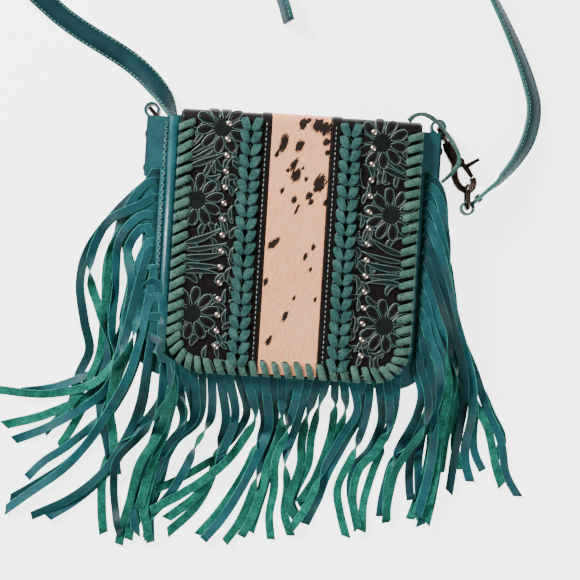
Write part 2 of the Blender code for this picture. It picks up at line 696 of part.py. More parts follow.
def strap_station(point, roll, lift=0.0):
    """Strap station at a picture point, its lower edge just above the table."""
    turn = math.radians(roll)
    rise = STRAP_W / 2 * abs(math.sin(turn)) + STRAP_T / 2 * abs(math.cos(turn)) + FIT
    lift = lift * MM
    place = on_table(point)
    return (place.x, place.y, rise + lift, roll)


RIGHT_STRAP = (
    ((500, 180), 76.0, 3.0), ((516, 162), 62.0, 1.0), ((530, 138), 48.0, 0.0),
    ((536, 110), 46.0, 0.0), ((532, 85), 48.0, 0.0), ((519, 48), 55.0, 0.0),
    ((497, 0), 66.0, 0.0), ((470, -50), 80.0, 0.0), ((428, -92), 88.0, 0.0),
    ((380, -113), 90.0, 0.0),
)
BUCKLE_PASS = ((45.0, -5.0), (22.0, -4.9), (12.5, -4.5), (-9.0, 6.4), (-17.0, 7.6), (-26.0, 9.0))
TAIL = (
    ((236, -92), 88.0, 0.0), ((246, -64), 80.0, 0.0), ((266, -34), 72.0, 0.0),
    ((281, -6), 66.0, 0.0), ((289, 20), 64.0, 0.0),
)
LEFT_STRAP = (
    ((173, 117), 78.0, 5.0), ((160, 91), 28.0, 2.0), ((130, 60), 4.0, 0.0),
    ((76, 25), 0.0, 0.0), ((47, 2), 4.0, 0.0), ((10, -36), 25.0, 0.0), ((-4, -76), 55.0, 0.0),
    ((12, -120), 78.0, 0.0), ((60, -148), 90.0, 0.0), ((120, -150), 90.0, 0.0),
    ((180, -136), 90.0, 2.0),
)
BUCKLE_SPOT = (271.0, -118.0)


def strap_end(side):
    """Where the strap's end loops round the ring's far bar."""
    return ring_frame(side) @ Vector((2 * RING_HALF[0], 0.0, 0.0))


def buckle_frame():
    """Buckle's own frame: X along the strap to its right piece, Y up, Z towards the bag."""
    spot = on_table(BUCKLE_SPOT)
    along = (on_table((BUCKLE_SPOT[0] + 40.0, BUCKLE_SPOT[1] + 2.0)) - spot).normalized()
    up = Vector((0.0, 0.0, 1.0))
    turn = Matrix((along, up, along.cross(up))).transposed().to_4x4()
    lift = BUCKLE_HALF[1] + WIRE_R + FIT
    return Matrix.Translation(spot + up * lift) @ turn


def buckle_station(x, out):
    place = buckle_frame() @ Vector((x, 0.0, out))
    return (*place, 90.0)


def end_loop(bar, low, high):
    """Round fold of a strap about an upright bar, and the room inside it."""
    circle = arc(bar, STRAP_LOOP_R + STRAP_T * 0.75, 0.0, 337.5, 15)
    hole = arc(bar, STRAP_LOOP_R, 337.5, 0.0, 15)
    room = arc(bar, STRAP_LOOP_R, 0.0, 337.5, 15)
    loop = plate("strap_loop", [circle, hole], low, high, None, collection=CUTTERS)
    clear = plate("loop_room", [room], low - MM, high + MM, None, collection=CUTTERS)
    return loop, clear


def start_stations(side, first):
    """First stations of a strap piece, straight out from its ring's bar, and their heading."""
    bar = strap_end(side)
    away = (Vector(first).to_2d() - bar.to_2d()).normalized()
    start = bar.to_2d() + away * (STRAP_LOOP_R + STRAP_T / 4)
    middle = bar.to_2d() + away * 2.4 * STRAP_RIVET_BACK
    return bar, away, [(*start, HARDWARE_Z, 90.0), (*middle, HARDWARE_Z, 88.0)]


def fold_and_rivet(strap, side, word, bar, away):
    low, high = HARDWARE_Z - STRAP_W / 2 + FIT, HARDWARE_Z + STRAP_W / 2 - FIT
    loop, clear = end_loop(bar, low, high)
    strap = combine(strap, [loop], "UNION")
    strap = combine(strap, [clear], "DIFFERENCE")
    spot = bar.to_2d() + away * STRAP_RIVET_BACK
    across = Vector((-away.y, away.x, 0.0))
    _, drill = rivet("strap_rivet_" + word, Vector((*spot, HARDWARE_Z)), across, STRAP_T)
    return combine(strap, [drill], "DIFFERENCE")


def prong_slot(from_x, to_x):
    """Cutter for the slot that the prong runs through, as wide as the prong needs."""
    outline = [(from_x, -PRONG_SLOT), (to_x, -PRONG_SLOT), (to_x, PRONG_SLOT),
               (from_x, PRONG_SLOT)]
    deep = 12.0 * MM
    return plate("prong_slot", [outline], -deep, deep, None, buckle_frame(), CUTTERS)


def make_right_strap():
    look = (LEATHER, 0.5, 0.0)
    route = [strap_station(*stop) for stop in RIGHT_STRAP]
    bar, away, stations = start_stations(1, route[0])
    passing = [buckle_station(x * MM, out * MM) for x, out in BUCKLE_PASS]
    stations += route + passing + [strap_station(*stop) for stop in TAIL]
    strap = band("strap_right", smooth_route(stations, STEP), STRAP_W, STRAP_T, look)
    strap = combine(strap, [prong_slot(-10.0 * MM, 8.0 * MM)], "DIFFERENCE")
    return fold_and_rivet(strap, 1, "right", bar, away)


def make_left_strap():
    look = (LEATHER, 0.5, 0.0)
    route = [strap_station(*stop) for stop in LEFT_STRAP]
    bar, away, stations = start_stations(-1, route[0])
    edge = -BUCKLE_HALF[0]
    last = edge - STRAP_LOOP_R - STRAP_T / 4
    stations += route + [buckle_station(edge - 40 * MM, 0.0), buckle_station(edge - 22 * MM, 0.0),
                         buckle_station(last, 0.0)]
    strap = band("strap_left", smooth_route(stations, STEP), STRAP_W, STRAP_T, look)
    strap = fold_and_rivet(strap, -1, "left", bar, away)
    buckle_bar = buckle_frame() @ Vector((edge, 0.0, 0.0))
    half = STRAP_W / 2 - FIT
    loop, clear = end_loop(buckle_bar, buckle_bar.z - half, buckle_bar.z + half)
    strap = combine(strap, [loop], "UNION")
    strap = combine(strap, [clear], "DIFFERENCE")
    reach = STRAP_LOOP_R + STRAP_T
    return combine(strap, [prong_slot(edge - reach, edge + reach)], "DIFFERENCE")


def make_buckle():
    metal = (BRONZE, 0.35, 1.0)
    frame = buckle_frame()
    long, tall = BUCKLE_HALF
    corner = 3.0 * MM
    spots = []
    for x, y, turn in ((1, 1, 0.0), (-1, 1, 90.0), (-1, -1, 180.0), (1, -1, 270.0)):
        centre = (x * (long - corner), y * (tall - corner))
        spots += arc(centre, corner, turn, turn + 90.0, 3)
    wire("buckle_frame", [(x, y, 0.0) for x, y in spots], WIRE_R, metal, frame, cyclic=True)
    bar = frame @ Vector((long, 0.0, 0.0))
    inner = WIRE_R + FIT
    tube = [arc(bar, inner + ROLLER_T, 0.0, 330.0, 11), arc(bar, inner, 330.0, 0.0, 11)]
    half = tall - corner - FIT
    plate("buckle_roller", tube, bar.z - half, bar.z + half, metal)
    rest = inner + ROLLER_T + FIT + PRONG_R
    curl = WIRE_R + FIT + PRONG_R
    hook = [(x - long, z) for x, z in arc((0.0, 0.0), curl, -120.0, -270.0, 6)]
    points = [(x, 0.0, z) for x, z in hook] + [(0.0, 0.0, rest - 0.4 * MM), (long + 3.0 * MM, 0.0, rest)]
    wire("buckle_prong", points, PRONG_R, metal, frame)
    across = Matrix(((0, 0, 1, 0), (0, 1, 0, 0), (-1, 0, 0, 0), (0, 0, 0, 1)))
    hole_x, hole_y = STRAP_T / 2 + FIT, STRAP_W / 2 + FIT
    rim_x, rim_y = hole_x + KEEPER_T, hole_y + KEEPER_T
    rim = [(rim_x, rim_y), (-rim_x, rim_y), (-rim_x, -rim_y), (rim_x, -rim_y)]
    hole = [(hole_x, hole_y), (hole_x, -hole_y), (-hole_x, -hole_y), (-hole_x, hole_y)]
    start = -long - KEEPER_BACK
    plate("keeper", [rim, hole], start, start + KEEPER_W, (LEATHER, 0.5, 0.0), frame @ across)


class Heap:
    """Heights of what already lies on the table, on a grid of square cells."""

    def __init__(self):
        self.cell = HEAP_CELL
        self.tops = {}

    def cells(self, x, y, reach):
        low_i, high_i = int((x - reach) // self.cell), int((x + reach) // self.cell)
        low_j, high_j = int((y - reach) // self.cell), int((y + reach) // self.cell)
        return [(i, j) for i in range(low_i, high_i + 1) for j in range(low_j, high_j + 1)]

    def top(self, x, y, reach):
        return max(self.tops.get(cell, 0.0) for cell in self.cells(x, y, reach))

    def raise_to(self, x, y, reach, height):
        for cell in self.cells(x, y, reach):
            self.tops[cell] = max(self.tops.get(cell, 0.0), height)

    def raise_box(self, x_range, y_range, height):
        steps_x = int((x_range[1] - x_range[0]) / self.cell) + 1
        steps_y = int((y_range[1] - y_range[0]) / self.cell) + 1
        for i in range(steps_x + 1):
            for j in range(steps_y + 1):
                x = min(x_range[0] + i * self.cell, x_range[1])
                y = min(y_range[0] + j * self.cell, y_range[1])
                self.raise_to(x, y, 0.0, height)


# Guide strands: place along the header from 0 to 1, then the picture points they pass
LEFT_GUIDES = (
    (0.00, ((150, 180), (112, 208), (82, 240), (71, 275), (77, 315), (86, 345), (76, 372), (72, 402))),
    (0.08, ((142, 190), (124, 215), (108, 245), (102, 290), (97, 340), (88, 380), (56, 424), (30, 450))),
    (0.16, ((138, 206), (104, 220), (86, 250), (84, 282), (94, 315), (98, 352), (88, 400), (96, 460))),
    (0.25, ((140, 215), (118, 240), (113, 285), (110, 325), (112, 352), (92, 378), (45, 388), (-4, 383))),
    (0.34, ((146, 222), (127, 245), (132, 280), (122, 320), (116, 356), (96, 392), (40, 422), (-4, 436))),
    (0.42, ((148, 250), (134, 295), (124, 335), (116, 362), (114, 395), (126, 425), (136, 448), (143, 466))),
    (0.50, ((150, 262), (140, 305), (128, 345), (112, 378), (92, 418), (58, 447), (30, 464), (12, 480))),
    (0.58, ((156, 275), (150, 312), (142, 350), (130, 385), (104, 425), (70, 470), (35, 497), (5, 518))),
    (0.66, ((160, 285), (154, 330), (146, 368), (138, 405), (122, 442), (98, 476), (62, 503), (18, 519))),
    (0.75, ((164, 300), (168, 345), (168, 385), (162, 430), (150, 470), (141, 505), (147, 525), (150, 540))),
    (0.83, ((166, 318), (173, 350), (172, 378), (160, 425), (138, 462), (126, 500), (116, 525), (111, 541))),
    (0.92, ((168, 345), (170, 385), (156, 412), (130, 436), (104, 458), (98, 485), (101, 512), (107, 536))),
    (1.00, ((172, 362), (176, 398), (168, 440), (160, 472), (152, 505), (142, 520), (138, 532), (136, 543))),
)
BOTTOM_GUIDES = (
    (0.00, ((186, 386), (178, 420), (164, 450), (154, 486), (140, 508), (126, 513))),
    (0.08, ((200, 386), (190, 418), (170, 444), (154, 478), (148, 510), (148, 541))),
    (0.16, ((216, 390), (198, 420), (170, 446), (146, 478), (132, 512), (120, 541))),
    (0.24, ((238, 392), (223, 420), (214, 450), (205, 480), (188, 508), (160, 532))),
    (0.32, ((257, 388), (250, 416), (236, 444), (217, 466), (176, 492), (128, 512))),
    (0.40, ((262, 392), (265, 424), (255, 452), (240, 482), (216, 516), (192, 542))),
    (0.47, ((284, 394), (272, 430), (258, 465), (246, 500), (234, 525), (220, 543))),
    (0.53, ((292, 394), (286, 430), (272, 468), (262, 505), (256, 525), (250, 544))),
    (0.60, ((308, 396), (292, 430), (280, 462), (282, 492), (279, 520), (285, 544))),
    (0.66, ((318, 398), (304, 436), (302, 466), (290, 492), (286, 508), (298, 524))),
    (0.73, ((331, 398), (334, 430), (324, 458), (312, 484), (303, 496), (290, 508))),
    (0.80, ((348, 396), (358, 412), (342, 442), (324, 475), (310, 508), (292, 535))),
    (0.87, ((360, 392), (366, 420), (356, 456), (342, 490), (345, 515), (352, 540))),
    (0.93, ((382, 392), (387, 424), (374, 452), (356, 470), (350, 498), (356, 530))),
    (1.00, ((396, 388), (396, 412), (386, 442), (376, 476), (366, 505), (362, 532))),
)
RIGHT_GUIDES = (
    (0.00, ((440, 188), (447, 225), (453, 285), (458, 330), (474, 366), (492, 388), (504, 412), (517, 436), (511, 460))),
    (0.10, ((438, 205), (447, 245), (451, 290), (457, 328), (472, 372), (486, 415), (502, 446), (508, 480), (520, 503))),
    (0.22, ((438, 240), (446, 280), (454, 318), (463, 352), (471, 385), (470, 415), (464, 440), (464, 460), (471, 478))),
    (0.34, ((438, 272), (446, 305), (455, 338), (462, 368), (464, 398), (459, 425), (453, 450), (450, 470), (447, 487))),
    (0.46, ((438, 300), (447, 328), (453, 356), (456, 386), (450, 415), (443, 440), (441, 466), (438, 492), (432, 519))),
    (0.58, ((434, 320), (443, 346), (447, 374), (448, 402), (443, 430), (438, 455), (436, 478), (433, 498), (428, 519))),
    (0.70, ((430, 338), (438, 362), (441, 388), (434, 415), (434, 440), (432, 465), (427, 490), (420, 512), (412, 534))),
    (0.80, ((426, 350), (432, 374), (432, 398), (426, 420), (420, 442), (417, 460), (417, 474), (418, 487), (420, 499))),
    (0.90, ((420, 362), (427, 386), (429, 410), (424, 432), (410, 452), (396, 472), (390, 492), (386, 510), (384, 528))),
    (1.00, ((414, 372), (419, 396), (413, 420), (402, 442), (392, 462), (387, 480), (384, 498), (383, 514), (383, 530))),
)


def even_path(points, count):
    """The same number of evenly spaced places along a smooth path."""
    fine = smooth_route([(p.x, p.y, 0.0, 0.0) for p in points], 2.0 * MM)
    runs = [0.0]
    for a, b in zip(fine, fine[1:]):
        runs.append(runs[-1] + (b - a).length)
    places = []
    j = 0
    for i in range(count + 1):
        goal = runs[-1] * i / count
        while j < len(runs) - 2 and runs[j + 1] < goal:
            j += 1
        share = (goal - runs[j]) / max(runs[j + 1] - runs[j], 1e-9)
        places.append(fine[j].lerp(fine[j + 1], min(share, 1.0)).to_2d())
    return places


def clear_of_flap(place, side, margin):
    """Moves a side strand's place out from the flap's edge."""
    edge = FLAP_SHIFT + side * (FLAP_HALF_W + LACE_RIM + margin)
    if place.y < FLAP_END_Y + 0.35 * FLAP_CORNER or side * (place.x - edge) > 0:
        return place
    return Vector((edge, place.y))


def strand_routes(guides, roots, out, seed, side):
    """One route on the table for each strand, blended from the guides beside it."""
    chance = random.Random(seed)
    shares = [share for share, _ in guides]
    first, last = roots
    shapes = []
    for share, points in guides:
        root = first.lerp(last, share)
        stops = [root, root + out * 6 * MM] + [on_table(p).to_2d() for p in points]
        shapes.append([p - root for p in even_path(stops, ROUTE_POINTS)])
    count = SIDE_STRANDS if side else BOTTOM_STRANDS
    routes = []
    for k in range(count):
        share = (k + 0.5) / count
        right = next(i for i, s in enumerate(shares) if s >= share)
        left = max(right - 1, 0)
        span = max(shares[right] - shares[left], 1e-6)
        mix = (share - shares[left]) / span
        mix = 0.5 + (mix - 0.5) * 0.6 + (0.2 if mix > 0.5 else -0.2) + chance.uniform(-0.08, 0.08)
        mix = min(max(mix, 0.0), 1.0)
        root = first.lerp(last, share)
        turn = Matrix.Rotation(math.radians(chance.uniform(-2.5, 2.5)), 2)
        size = chance.uniform(0.94, 1.03)
        route = []
        for i, (a, b) in enumerate(zip(shapes[left], shapes[right])):
            ease = min(1.0, i / (0.25 * ROUTE_POINTS))
            offset = a.lerp(b, mix)
            place = root + offset.lerp(turn @ offset * size, ease)
            if side:
                place = clear_of_flap(place, side, STRAND_W / 2 + FIT)
            route.append(place)
        routes.append(route)
    return routes


def in_chords(route, segments):
    """The same route with its points on straight lines between the strand's sections."""
    per = (len(route) - 1) // segments
    corners = [route[i * per] for i in range(segments + 1)]
    places = [a.lerp(b, m / per) for a, b in zip(corners, corners[1:]) for m in range(per)]
    return places + [corners[-1]]


def lay_strand(below, heap, route, start_z, segments):
    """Heights for the strand's sections, laid over what is there, then added to the heap."""
    per = (len(route) - 1) // segments
    rest = STRAND_T / 2 + STRAND_GAP
    need = [max(below.top(p.x, p.y, FAR_REACH), heap.top(p.x, p.y, NEAR_REACH)) + rest
            for p in route]
    need[0] = start_z
    under_flap = FLAP_LOW - FIT - STRAND_T / 2
    drop = (route[2] - route[1]).length * STRAND_FALL
    for j in range(1, len(need)):
        need[j] = max(need[j], need[j - 1] - drop)
    for j in range(len(need) - 2, 0, -1):
        need[j] = max(need[j], need[j + 1] - drop)
    levels = [need[i * per] for i in range(segments + 1)]
    for k in range(segments):
        shorts = [need[k * per + m] - levels[k] - (levels[k + 1] - levels[k]) * m / per
                  for m in range(1, per)]
        if k == 0:
            near = per // 3
            levels[1] += max(0.0, *[shorts[m] * per / (m + 1) for m in range(near, per - 1)])
            most = under_flap if route[0].y < FRONT_END_Y else start_z + FIRST_RISE
            levels[1] = min(levels[1], most)
        else:
            lift = min(max(0.0, *shorts), MOST_LIFT)
            levels[k] += lift
            levels[k + 1] += lift
    for i, place in enumerate(route):
        k = min(i // per, segments - 1)
        share = (i - k * per) / per
        height = levels[k] + (levels[k + 1] - levels[k]) * share
        heap.raise_to(place.x, place.y, NEAR_REACH, height + STRAND_T / 2)
    return [route[i * per].to_3d() + Vector((0.0, 0.0, levels[i])) for i in range(segments + 1)]


def make_fringe(word, below, guides, roots, out, seed, side):
    """Header strip with its strands, one connected comb lofted along their routes."""
    heap = Heap()
    routes = strand_routes(guides, roots, out, seed, side)
    first, last = roots
    count = len(routes)
    along = (last - first).normalized().to_3d()
    inward = -out.to_3d() * HEADER_W
    low = GUSSET_TOP + FIT
    levels = (low, low + HEADER_T)
    bm = bmesh.new()
    pitch = (last - first).length / count
    rings = []
    for k in range(count):
        for share in (STRAND_SLIT / 2 / pitch, 1 - STRAND_SLIT / 2 / pitch):
            spot = first.to_3d() + along * ((k + share) * pitch)
            places = (spot + inward, spot + inward, spot, spot)
            heights = (levels[0], levels[1], levels[1], levels[0])
            rings.append([bm.verts.new(p + Vector((0.0, 0.0, h))) for p, h in zip(places, heights)])
    for n, (a, b) in enumerate(zip(rings, rings[1:])):
        for i in range(4):
            if i == 2 and n % 2 == 0:
                continue
            j = (i + 1) % 4
            bm.faces.new((a[i], a[j], b[j], b[i]))
    bm.faces.new(rings[0])
    bm.faces.new(list(reversed(rings[-1])))
    laid = {}
    order = list(range(0, count, 2)) + list(range(1, count, 2))
    if side:
        order = [k for first_k in range(LAYINGS) for k in range(count - 1 - first_k, -1, -LAYINGS)]
    for k in order:
        route = in_chords(routes[k], STRAND_SEGMENTS)
        laid[k] = lay_strand(below, heap, route, low + HEADER_T / 2, STRAND_SEGMENTS)
    for k in range(count):
        spots = laid[k]
        a, b = rings[2 * k], rings[2 * k + 1]
        section = [a[3], b[3], b[2], a[2]]
        for i in range(1, len(spots)):
            ahead = spots[min(i + 1, len(spots) - 1)] - spots[i - 1]
            ahead.normalize()
            across = Vector((-ahead.y, ahead.x, 0.0)).normalized() * STRAND_W / 2
            if i == 1 and across.dot(along) < 0:
                across.negate()
            if i > 1 and across.dot(last_across) < 0:
                across.negate()
            last_across = across
            up = Vector((0.0, 0.0, STRAND_T / 2))
            fresh = [bm.verts.new(spots[i] + s * across + t * up)
                     for s, t in ((-1, -1), (1, -1), (1, 1), (-1, 1))]
            for m in range(4):
                n = (m + 1) % 4
                bm.faces.new((section[m], section[n], fresh[n], fresh[m]))
            section = fresh
        bm.faces.new(section)
    bmesh.ops.triangulate(bm, faces=bm.faces)
    for cell, height in heap.tops.items():
        below.tops[cell] = max(below.tops.get(cell, 0.0), height)
    return from_bmesh("fringe_" + word, bm, (SUEDE, 0.8, 0.0))


def make_fringes():
    heap = Heap()
    rim = BODY_HALF_W + FIT
    heap.raise_box((-rim, rim), (-BODY_HALF_H, BODY_HALF_H), GUSSET_TOP + FIT)
    for side in (-1, 1):
        outer = side * (BODY_HALF_W + TAB_T + RIVET_HEAD + 2 * FIT)
        heap.raise_box((min(side * rim, outer), max(side * rim, outer)),
                       (BODY_HALF_H - TAB_LENGTH, BODY_HALF_H), HARDWARE_Z + TAB_W / 2 + FIT)
    seam = FRONT_HALF_W + FIT + HEADER_W
    bottom_y = FRONT_END_Y - FIT - HEADER_W
    bottom = (Vector((-92.0 * MM, bottom_y)), Vector((98.0 * MM, bottom_y)))
    make_fringe("bottom", heap, BOTTOM_GUIDES, bottom, Vector((0.0, -1.0)), 5, 0)
    left = (Vector((-seam, 64.0 * MM)), Vector((-seam, -82.0 * MM)))
    make_fringe("left", heap, LEFT_GUIDES, left, Vector((-1.0, 0.0)), 3, -1)
    right = (Vector((seam, 74.0 * MM)), Vector((seam, -80.0 * MM)))
    make_fringe("right", heap, RIGHT_GUIDES, right, Vector((1.0, 0.0)), 4, 1)


def main():
    gusset = make_body()
    make_flap()
    make_braids()
    make_whipstitch()
    make_tabs(gusset)
    for side, word in ((-1, "left"), (1, "right")):
        make_snap(side, word)
        make_ring(side, word)
    make_right_strap()
    make_left_strap()
    make_buckle()
    make_fringes()
    hang("flap_hinge", (FLAP_SHIFT, FLAP_IN_Y + FLAP_T / 2, HINGE_Z), FLAP_PIECES)


main()
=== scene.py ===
"""Looks of the fringed leather bag: leathers, fringe, lacing, carving, cowhide and metal."""
import math
import random

import bmesh
import bpy
import numpy as np
from mathutils import Matrix, Vector


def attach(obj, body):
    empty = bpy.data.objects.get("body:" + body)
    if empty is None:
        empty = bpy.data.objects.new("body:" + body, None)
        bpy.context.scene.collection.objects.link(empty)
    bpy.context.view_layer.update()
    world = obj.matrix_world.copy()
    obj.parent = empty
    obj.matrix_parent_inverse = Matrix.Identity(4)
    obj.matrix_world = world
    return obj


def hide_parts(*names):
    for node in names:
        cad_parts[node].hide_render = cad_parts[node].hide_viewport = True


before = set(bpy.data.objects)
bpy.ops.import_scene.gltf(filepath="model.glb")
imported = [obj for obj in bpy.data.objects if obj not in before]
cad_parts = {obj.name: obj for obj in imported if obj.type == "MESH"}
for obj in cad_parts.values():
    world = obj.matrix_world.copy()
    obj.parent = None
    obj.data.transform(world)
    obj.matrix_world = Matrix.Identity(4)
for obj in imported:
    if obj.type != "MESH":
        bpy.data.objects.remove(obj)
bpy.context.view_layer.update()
MM = 0.001
CLEARANCE = 0.0003

# Sizes and levels of the part's solids, in metres
BODY_HALF_W = 0.123
BODY_HALF_H = 0.110
FRONT_HALF_W = 0.105
FRONT_END_Y = -0.092
GUSSET_TOP = 0.0303
FRONT_TOP = 0.0332
FLAP_LOW = 0.0358
FLAP_TOP = 0.0383
FACE = 0.0406
FLAP_SHIFT = 0.006
FLAP_HALF_W = 0.1015
FLAP_IN_Y = 0.112
FLAP_END_Y = -0.1045
FLAP_CORNER = 0.030
FOLD_RADIUS = 0.005
FACE_END_Y = FLAP_IN_Y - FOLD_RADIUS
HARDWARE_Z = 0.0152

# How the pieces lie on the table: picture points, their scale, and the bag's turn among them
PICTURE_SCALE = 0.00085
PICTURE_ORIGIN = (287.0, 252.5)
PICTURE_MIDDLE = (290.0, 290.0)
PICTURE_WIDTH = 580.0
BAG_TURN = math.radians(3.5)

# Camera
CAMERA_HEIGHT = 1.5
FACE_HEIGHT = 0.02
SENSOR = 36.0

# Light
WORLD_STRENGTH = 0.22
# Each lamp's place and size
KEY_LIGHT = (-1.35, 1.25, 1.15), 0.6
FILL_LIGHT = (1.4, -0.9, 1.2), 1.2
KEY_POWER = 106.0
FILL_POWER = 32.0
FLOOR_HALF = 6.0
FLOOR_Z = -0.0005
FLOOR_GLOW = 3.3


def on_table(point):
    """Place of a picture point in the bag's frame, on the table."""
    x = (point[0] - PICTURE_ORIGIN[0]) * PICTURE_SCALE
    y = (PICTURE_ORIGIN[1] - point[1]) * PICTURE_SCALE
    return Vector((x, y)).to_3d() @ Matrix.Rotation(-BAG_TURN, 3, "Z")


# Materials

def new_material(name, roughness, levels=()):
    """Material with its tree and shader; levels sets other inputs of the shader by name."""
    material = bpy.data.materials.new(name)
    material.use_nodes = True
    shader = material.node_tree.nodes["Principled BSDF"]
    for key, value in {"Roughness": roughness, **dict(levels)}.items():
        shader.inputs[key].default_value = value
    return material, material.node_tree, shader


def add_node(tree, kind, inputs=(), **settings):
    """New node; inputs is a dict of sockets to values or to the sockets they take."""
    made = tree.nodes.new(kind)
    for key, value in settings.items():
        setattr(made, key, value)
    for key, value in dict(inputs).items():
        if isinstance(value, bpy.types.NodeSocket):
            tree.links.new(value, made.inputs[key])
        else:
            made.inputs[key].default_value = value
    return made


def spots(tree, stretch=(1.0, 1.0, 1.0), turn=0.0):
    place = add_node(tree, "ShaderNodeTexCoord").outputs["Object"]
    mapping = {"Vector": place, "Scale": stretch, "Rotation": (0.0, 0.0, turn)}
    return add_node(tree, "ShaderNodeMapping", mapping).outputs["Vector"]


def noise(tree, scale, detail=3.0, stretch=(1.0, 1.0, 1.0), turn=0.0):
    inputs = {"Vector": spots(tree, stretch, turn), "Scale": scale, "Detail": detail}
    return add_node(tree, "ShaderNodeTexNoise", inputs).outputs["Fac"]


def cells(tree, scale, feature="F1", stretch=(1.0, 1.0, 1.0)):
    inputs = {"Vector": spots(tree, stretch), "Scale": scale}
    return add_node(tree, "ShaderNodeTexVoronoi", inputs, feature=feature).outputs["Distance"]


def spread(tree, fac, low, high, to_low=0.0, to_high=1.0):
    """Fac's span from low to high taken to another span, and held there."""
    inputs = {"Value": fac, "From Min": low, "From Max": high, "To Min": to_low, "To Max": to_high}
    return add_node(tree, "ShaderNodeMapRange", inputs, clamp=True).outputs["Result"]


def blend(tree, fac, first, second, mode="MIX"):
    """Mix of two colours, each a colour or a socket."""
    inputs = {0: fac, 6: full(first), 7: full(second)}
    return add_node(tree, "ShaderNodeMix", inputs, data_type="RGBA", blend_type=mode).outputs[2]


def full(colour):
    return colour if isinstance(colour, bpy.types.NodeSocket) else (*colour, 1.0)


def sums(tree, first, second, operation="ADD"):
    return add_node(tree, "ShaderNodeMath", {0: first, 1: second}, operation=operation).outputs[0]


def weighted(tree, first, share, second, other_share):
    return sums(tree, sums(tree, first, share, "MULTIPLY"),
                sums(tree, second, other_share, "MULTIPLY"))


def darkened(tree, colour, dark, reach, level):
    """Colour of a strand, darker as far as its own shade says."""
    own = spread(tree, attribute(tree, "shade"), 0.0, 1.0, 0.0, reach)
    return blend(tree, own, colour, tuple(level * c for c in dark))


def bump(tree, shader, layers):
    """Stacks bumps of a height socket, a strength and a depth in metres."""
    normal = None
    for height, strength, depth in layers:
        inputs = {"Height": height, "Strength": strength, "Distance": depth}
        if normal:
            inputs["Normal"] = normal
        normal = add_node(tree, "ShaderNodeBump", inputs).outputs["Normal"]
    tree.links.new(normal, shader.inputs["Normal"])


def attribute(tree, name):
    return add_node(tree, "ShaderNodeAttribute", attribute_name=name).outputs["Fac"]


def grain_leather(name, dark, light, roughness, shade=False, gloss=0.4, grain=0.0001):
    """Smooth leather with fine pebble grain, creases and worn lighter places."""
    material, tree, shader = new_material(name, roughness, {"Specular IOR Level": gloss})
    wide = noise(tree, 45.0, 4.0)
    fine = cells(tree, 950.0)
    tone = spread(tree, weighted(tree, wide, 0.75, noise(tree, 420.0), 0.35), 0.38, 0.72)
    colour = blend(tree, tone, dark, light)
    if shade:
        colour = darkened(tree, colour, dark, 0.8, 0.45)
    tree.links.new(colour, shader.inputs["Base Color"])
    rough = spread(tree, fine, 0.0, 0.6, roughness - 0.08, roughness + 0.12)
    tree.links.new(rough, shader.inputs["Roughness"])
    bump(tree, shader, [(wide, 0.3, 0.0006), (fine, 0.5, grain)])
    return material


def suede(name, dark, light, shade=False):
    """Napped leather: mottled, rough, with a soft sheen."""
    levels = {"Sheen Weight": 0.08, "Sheen Roughness": 0.5, "Specular IOR Level": 0.15}
    material, tree, shader = new_material(name, 0.95, levels)
    nap = noise(tree, 620.0, 5.0)
    tone = spread(tree, weighted(tree, nap, 0.55, noise(tree, 120.0), 0.45), 0.42, 0.6)
    colour = blend(tree, tone, dark, light)
    if shade:
        colour = darkened(tree, colour, dark, 0.55, 0.5)
    tree.links.new(colour, shader.inputs["Base Color"])
    bump(tree, shader, [(nap, 0.8, 0.0004)])
    return material


def worn_metal(name, dark, light, roughness):
    material, tree, shader = new_material(name, roughness, {"Metallic": 1.0})
    wear = noise(tree, 300.0, 4.0)
    tree.links.new(blend(tree, spread(tree, wear, 0.35, 0.7), dark, light),
                   shader.inputs["Base Color"])
    tree.links.new(spread(tree, noise(tree, 900.0), 0.3, 0.7, roughness - 0.08, roughness + 0.15),
                   shader.inputs["Roughness"])
    bump(tree, shader, [(wear, 0.2, 0.0001)])
    return material


TEAL_GRAIN = grain_leather("teal_grain", (0.002, 0.036, 0.046), (0.01, 0.085, 0.098), 0.4)
STRAP_GRAIN = grain_leather("strap_grain", (0.001, 0.016, 0.022), (0.004, 0.038, 0.046), 0.5,
                            gloss=0.15)
STRAP_EDGE = grain_leather("strap_edge", (0.012, 0.075, 0.07), (0.035, 0.14, 0.125), 0.5)
# Glossier copy of teal_grain for the turned edge, its colour a little lighter as a painted
# highlight
TEAL_GLOSSY_HIGHLIT = grain_leather("teal_glossy_painted_highlight", (0.003, 0.042, 0.053), (0.014, 0.105, 0.118), 0.25)
STRAND_GRAIN = grain_leather("strand_grain", (0.003, 0.048, 0.058), (0.012, 0.105, 0.118), 0.45,
                             shade=True, gloss=0.22, grain=0.00025)
STRAND_SUEDE = suede("strand_suede", (0.004, 0.085, 0.062), (0.018, 0.2, 0.14), True)
STRAND_EDGE = suede("strand_edge", (0.014, 0.14, 0.115), (0.05, 0.27, 0.22), True)
LACE = suede("lace_suede", (0.03, 0.082, 0.064), (0.08, 0.16, 0.132))
BRAID_LACE = suede("braid_suede", (0.014, 0.055, 0.05), (0.042, 0.115, 0.105))
DARK_GRAIN = grain_leather("dark_grain", (0.002, 0.0014, 0.0012), (0.008, 0.006, 0.005), 0.42,
                           gloss=0.18)
THREAD = suede("stitch_thread", (0.08, 0.2, 0.18), (0.2, 0.36, 0.33))
PALE_THREAD = suede("pale_thread", (0.16, 0.21, 0.2), (0.38, 0.43, 0.41))
BRONZE = worn_metal("dark_bronze", (0.022, 0.013, 0.01), (0.1, 0.062, 0.047), 0.34)
ROSE_SILVER = worn_metal("rose_silver", (0.5, 0.38, 0.34), (0.85, 0.7, 0.65), 0.25)


# Mesh tools

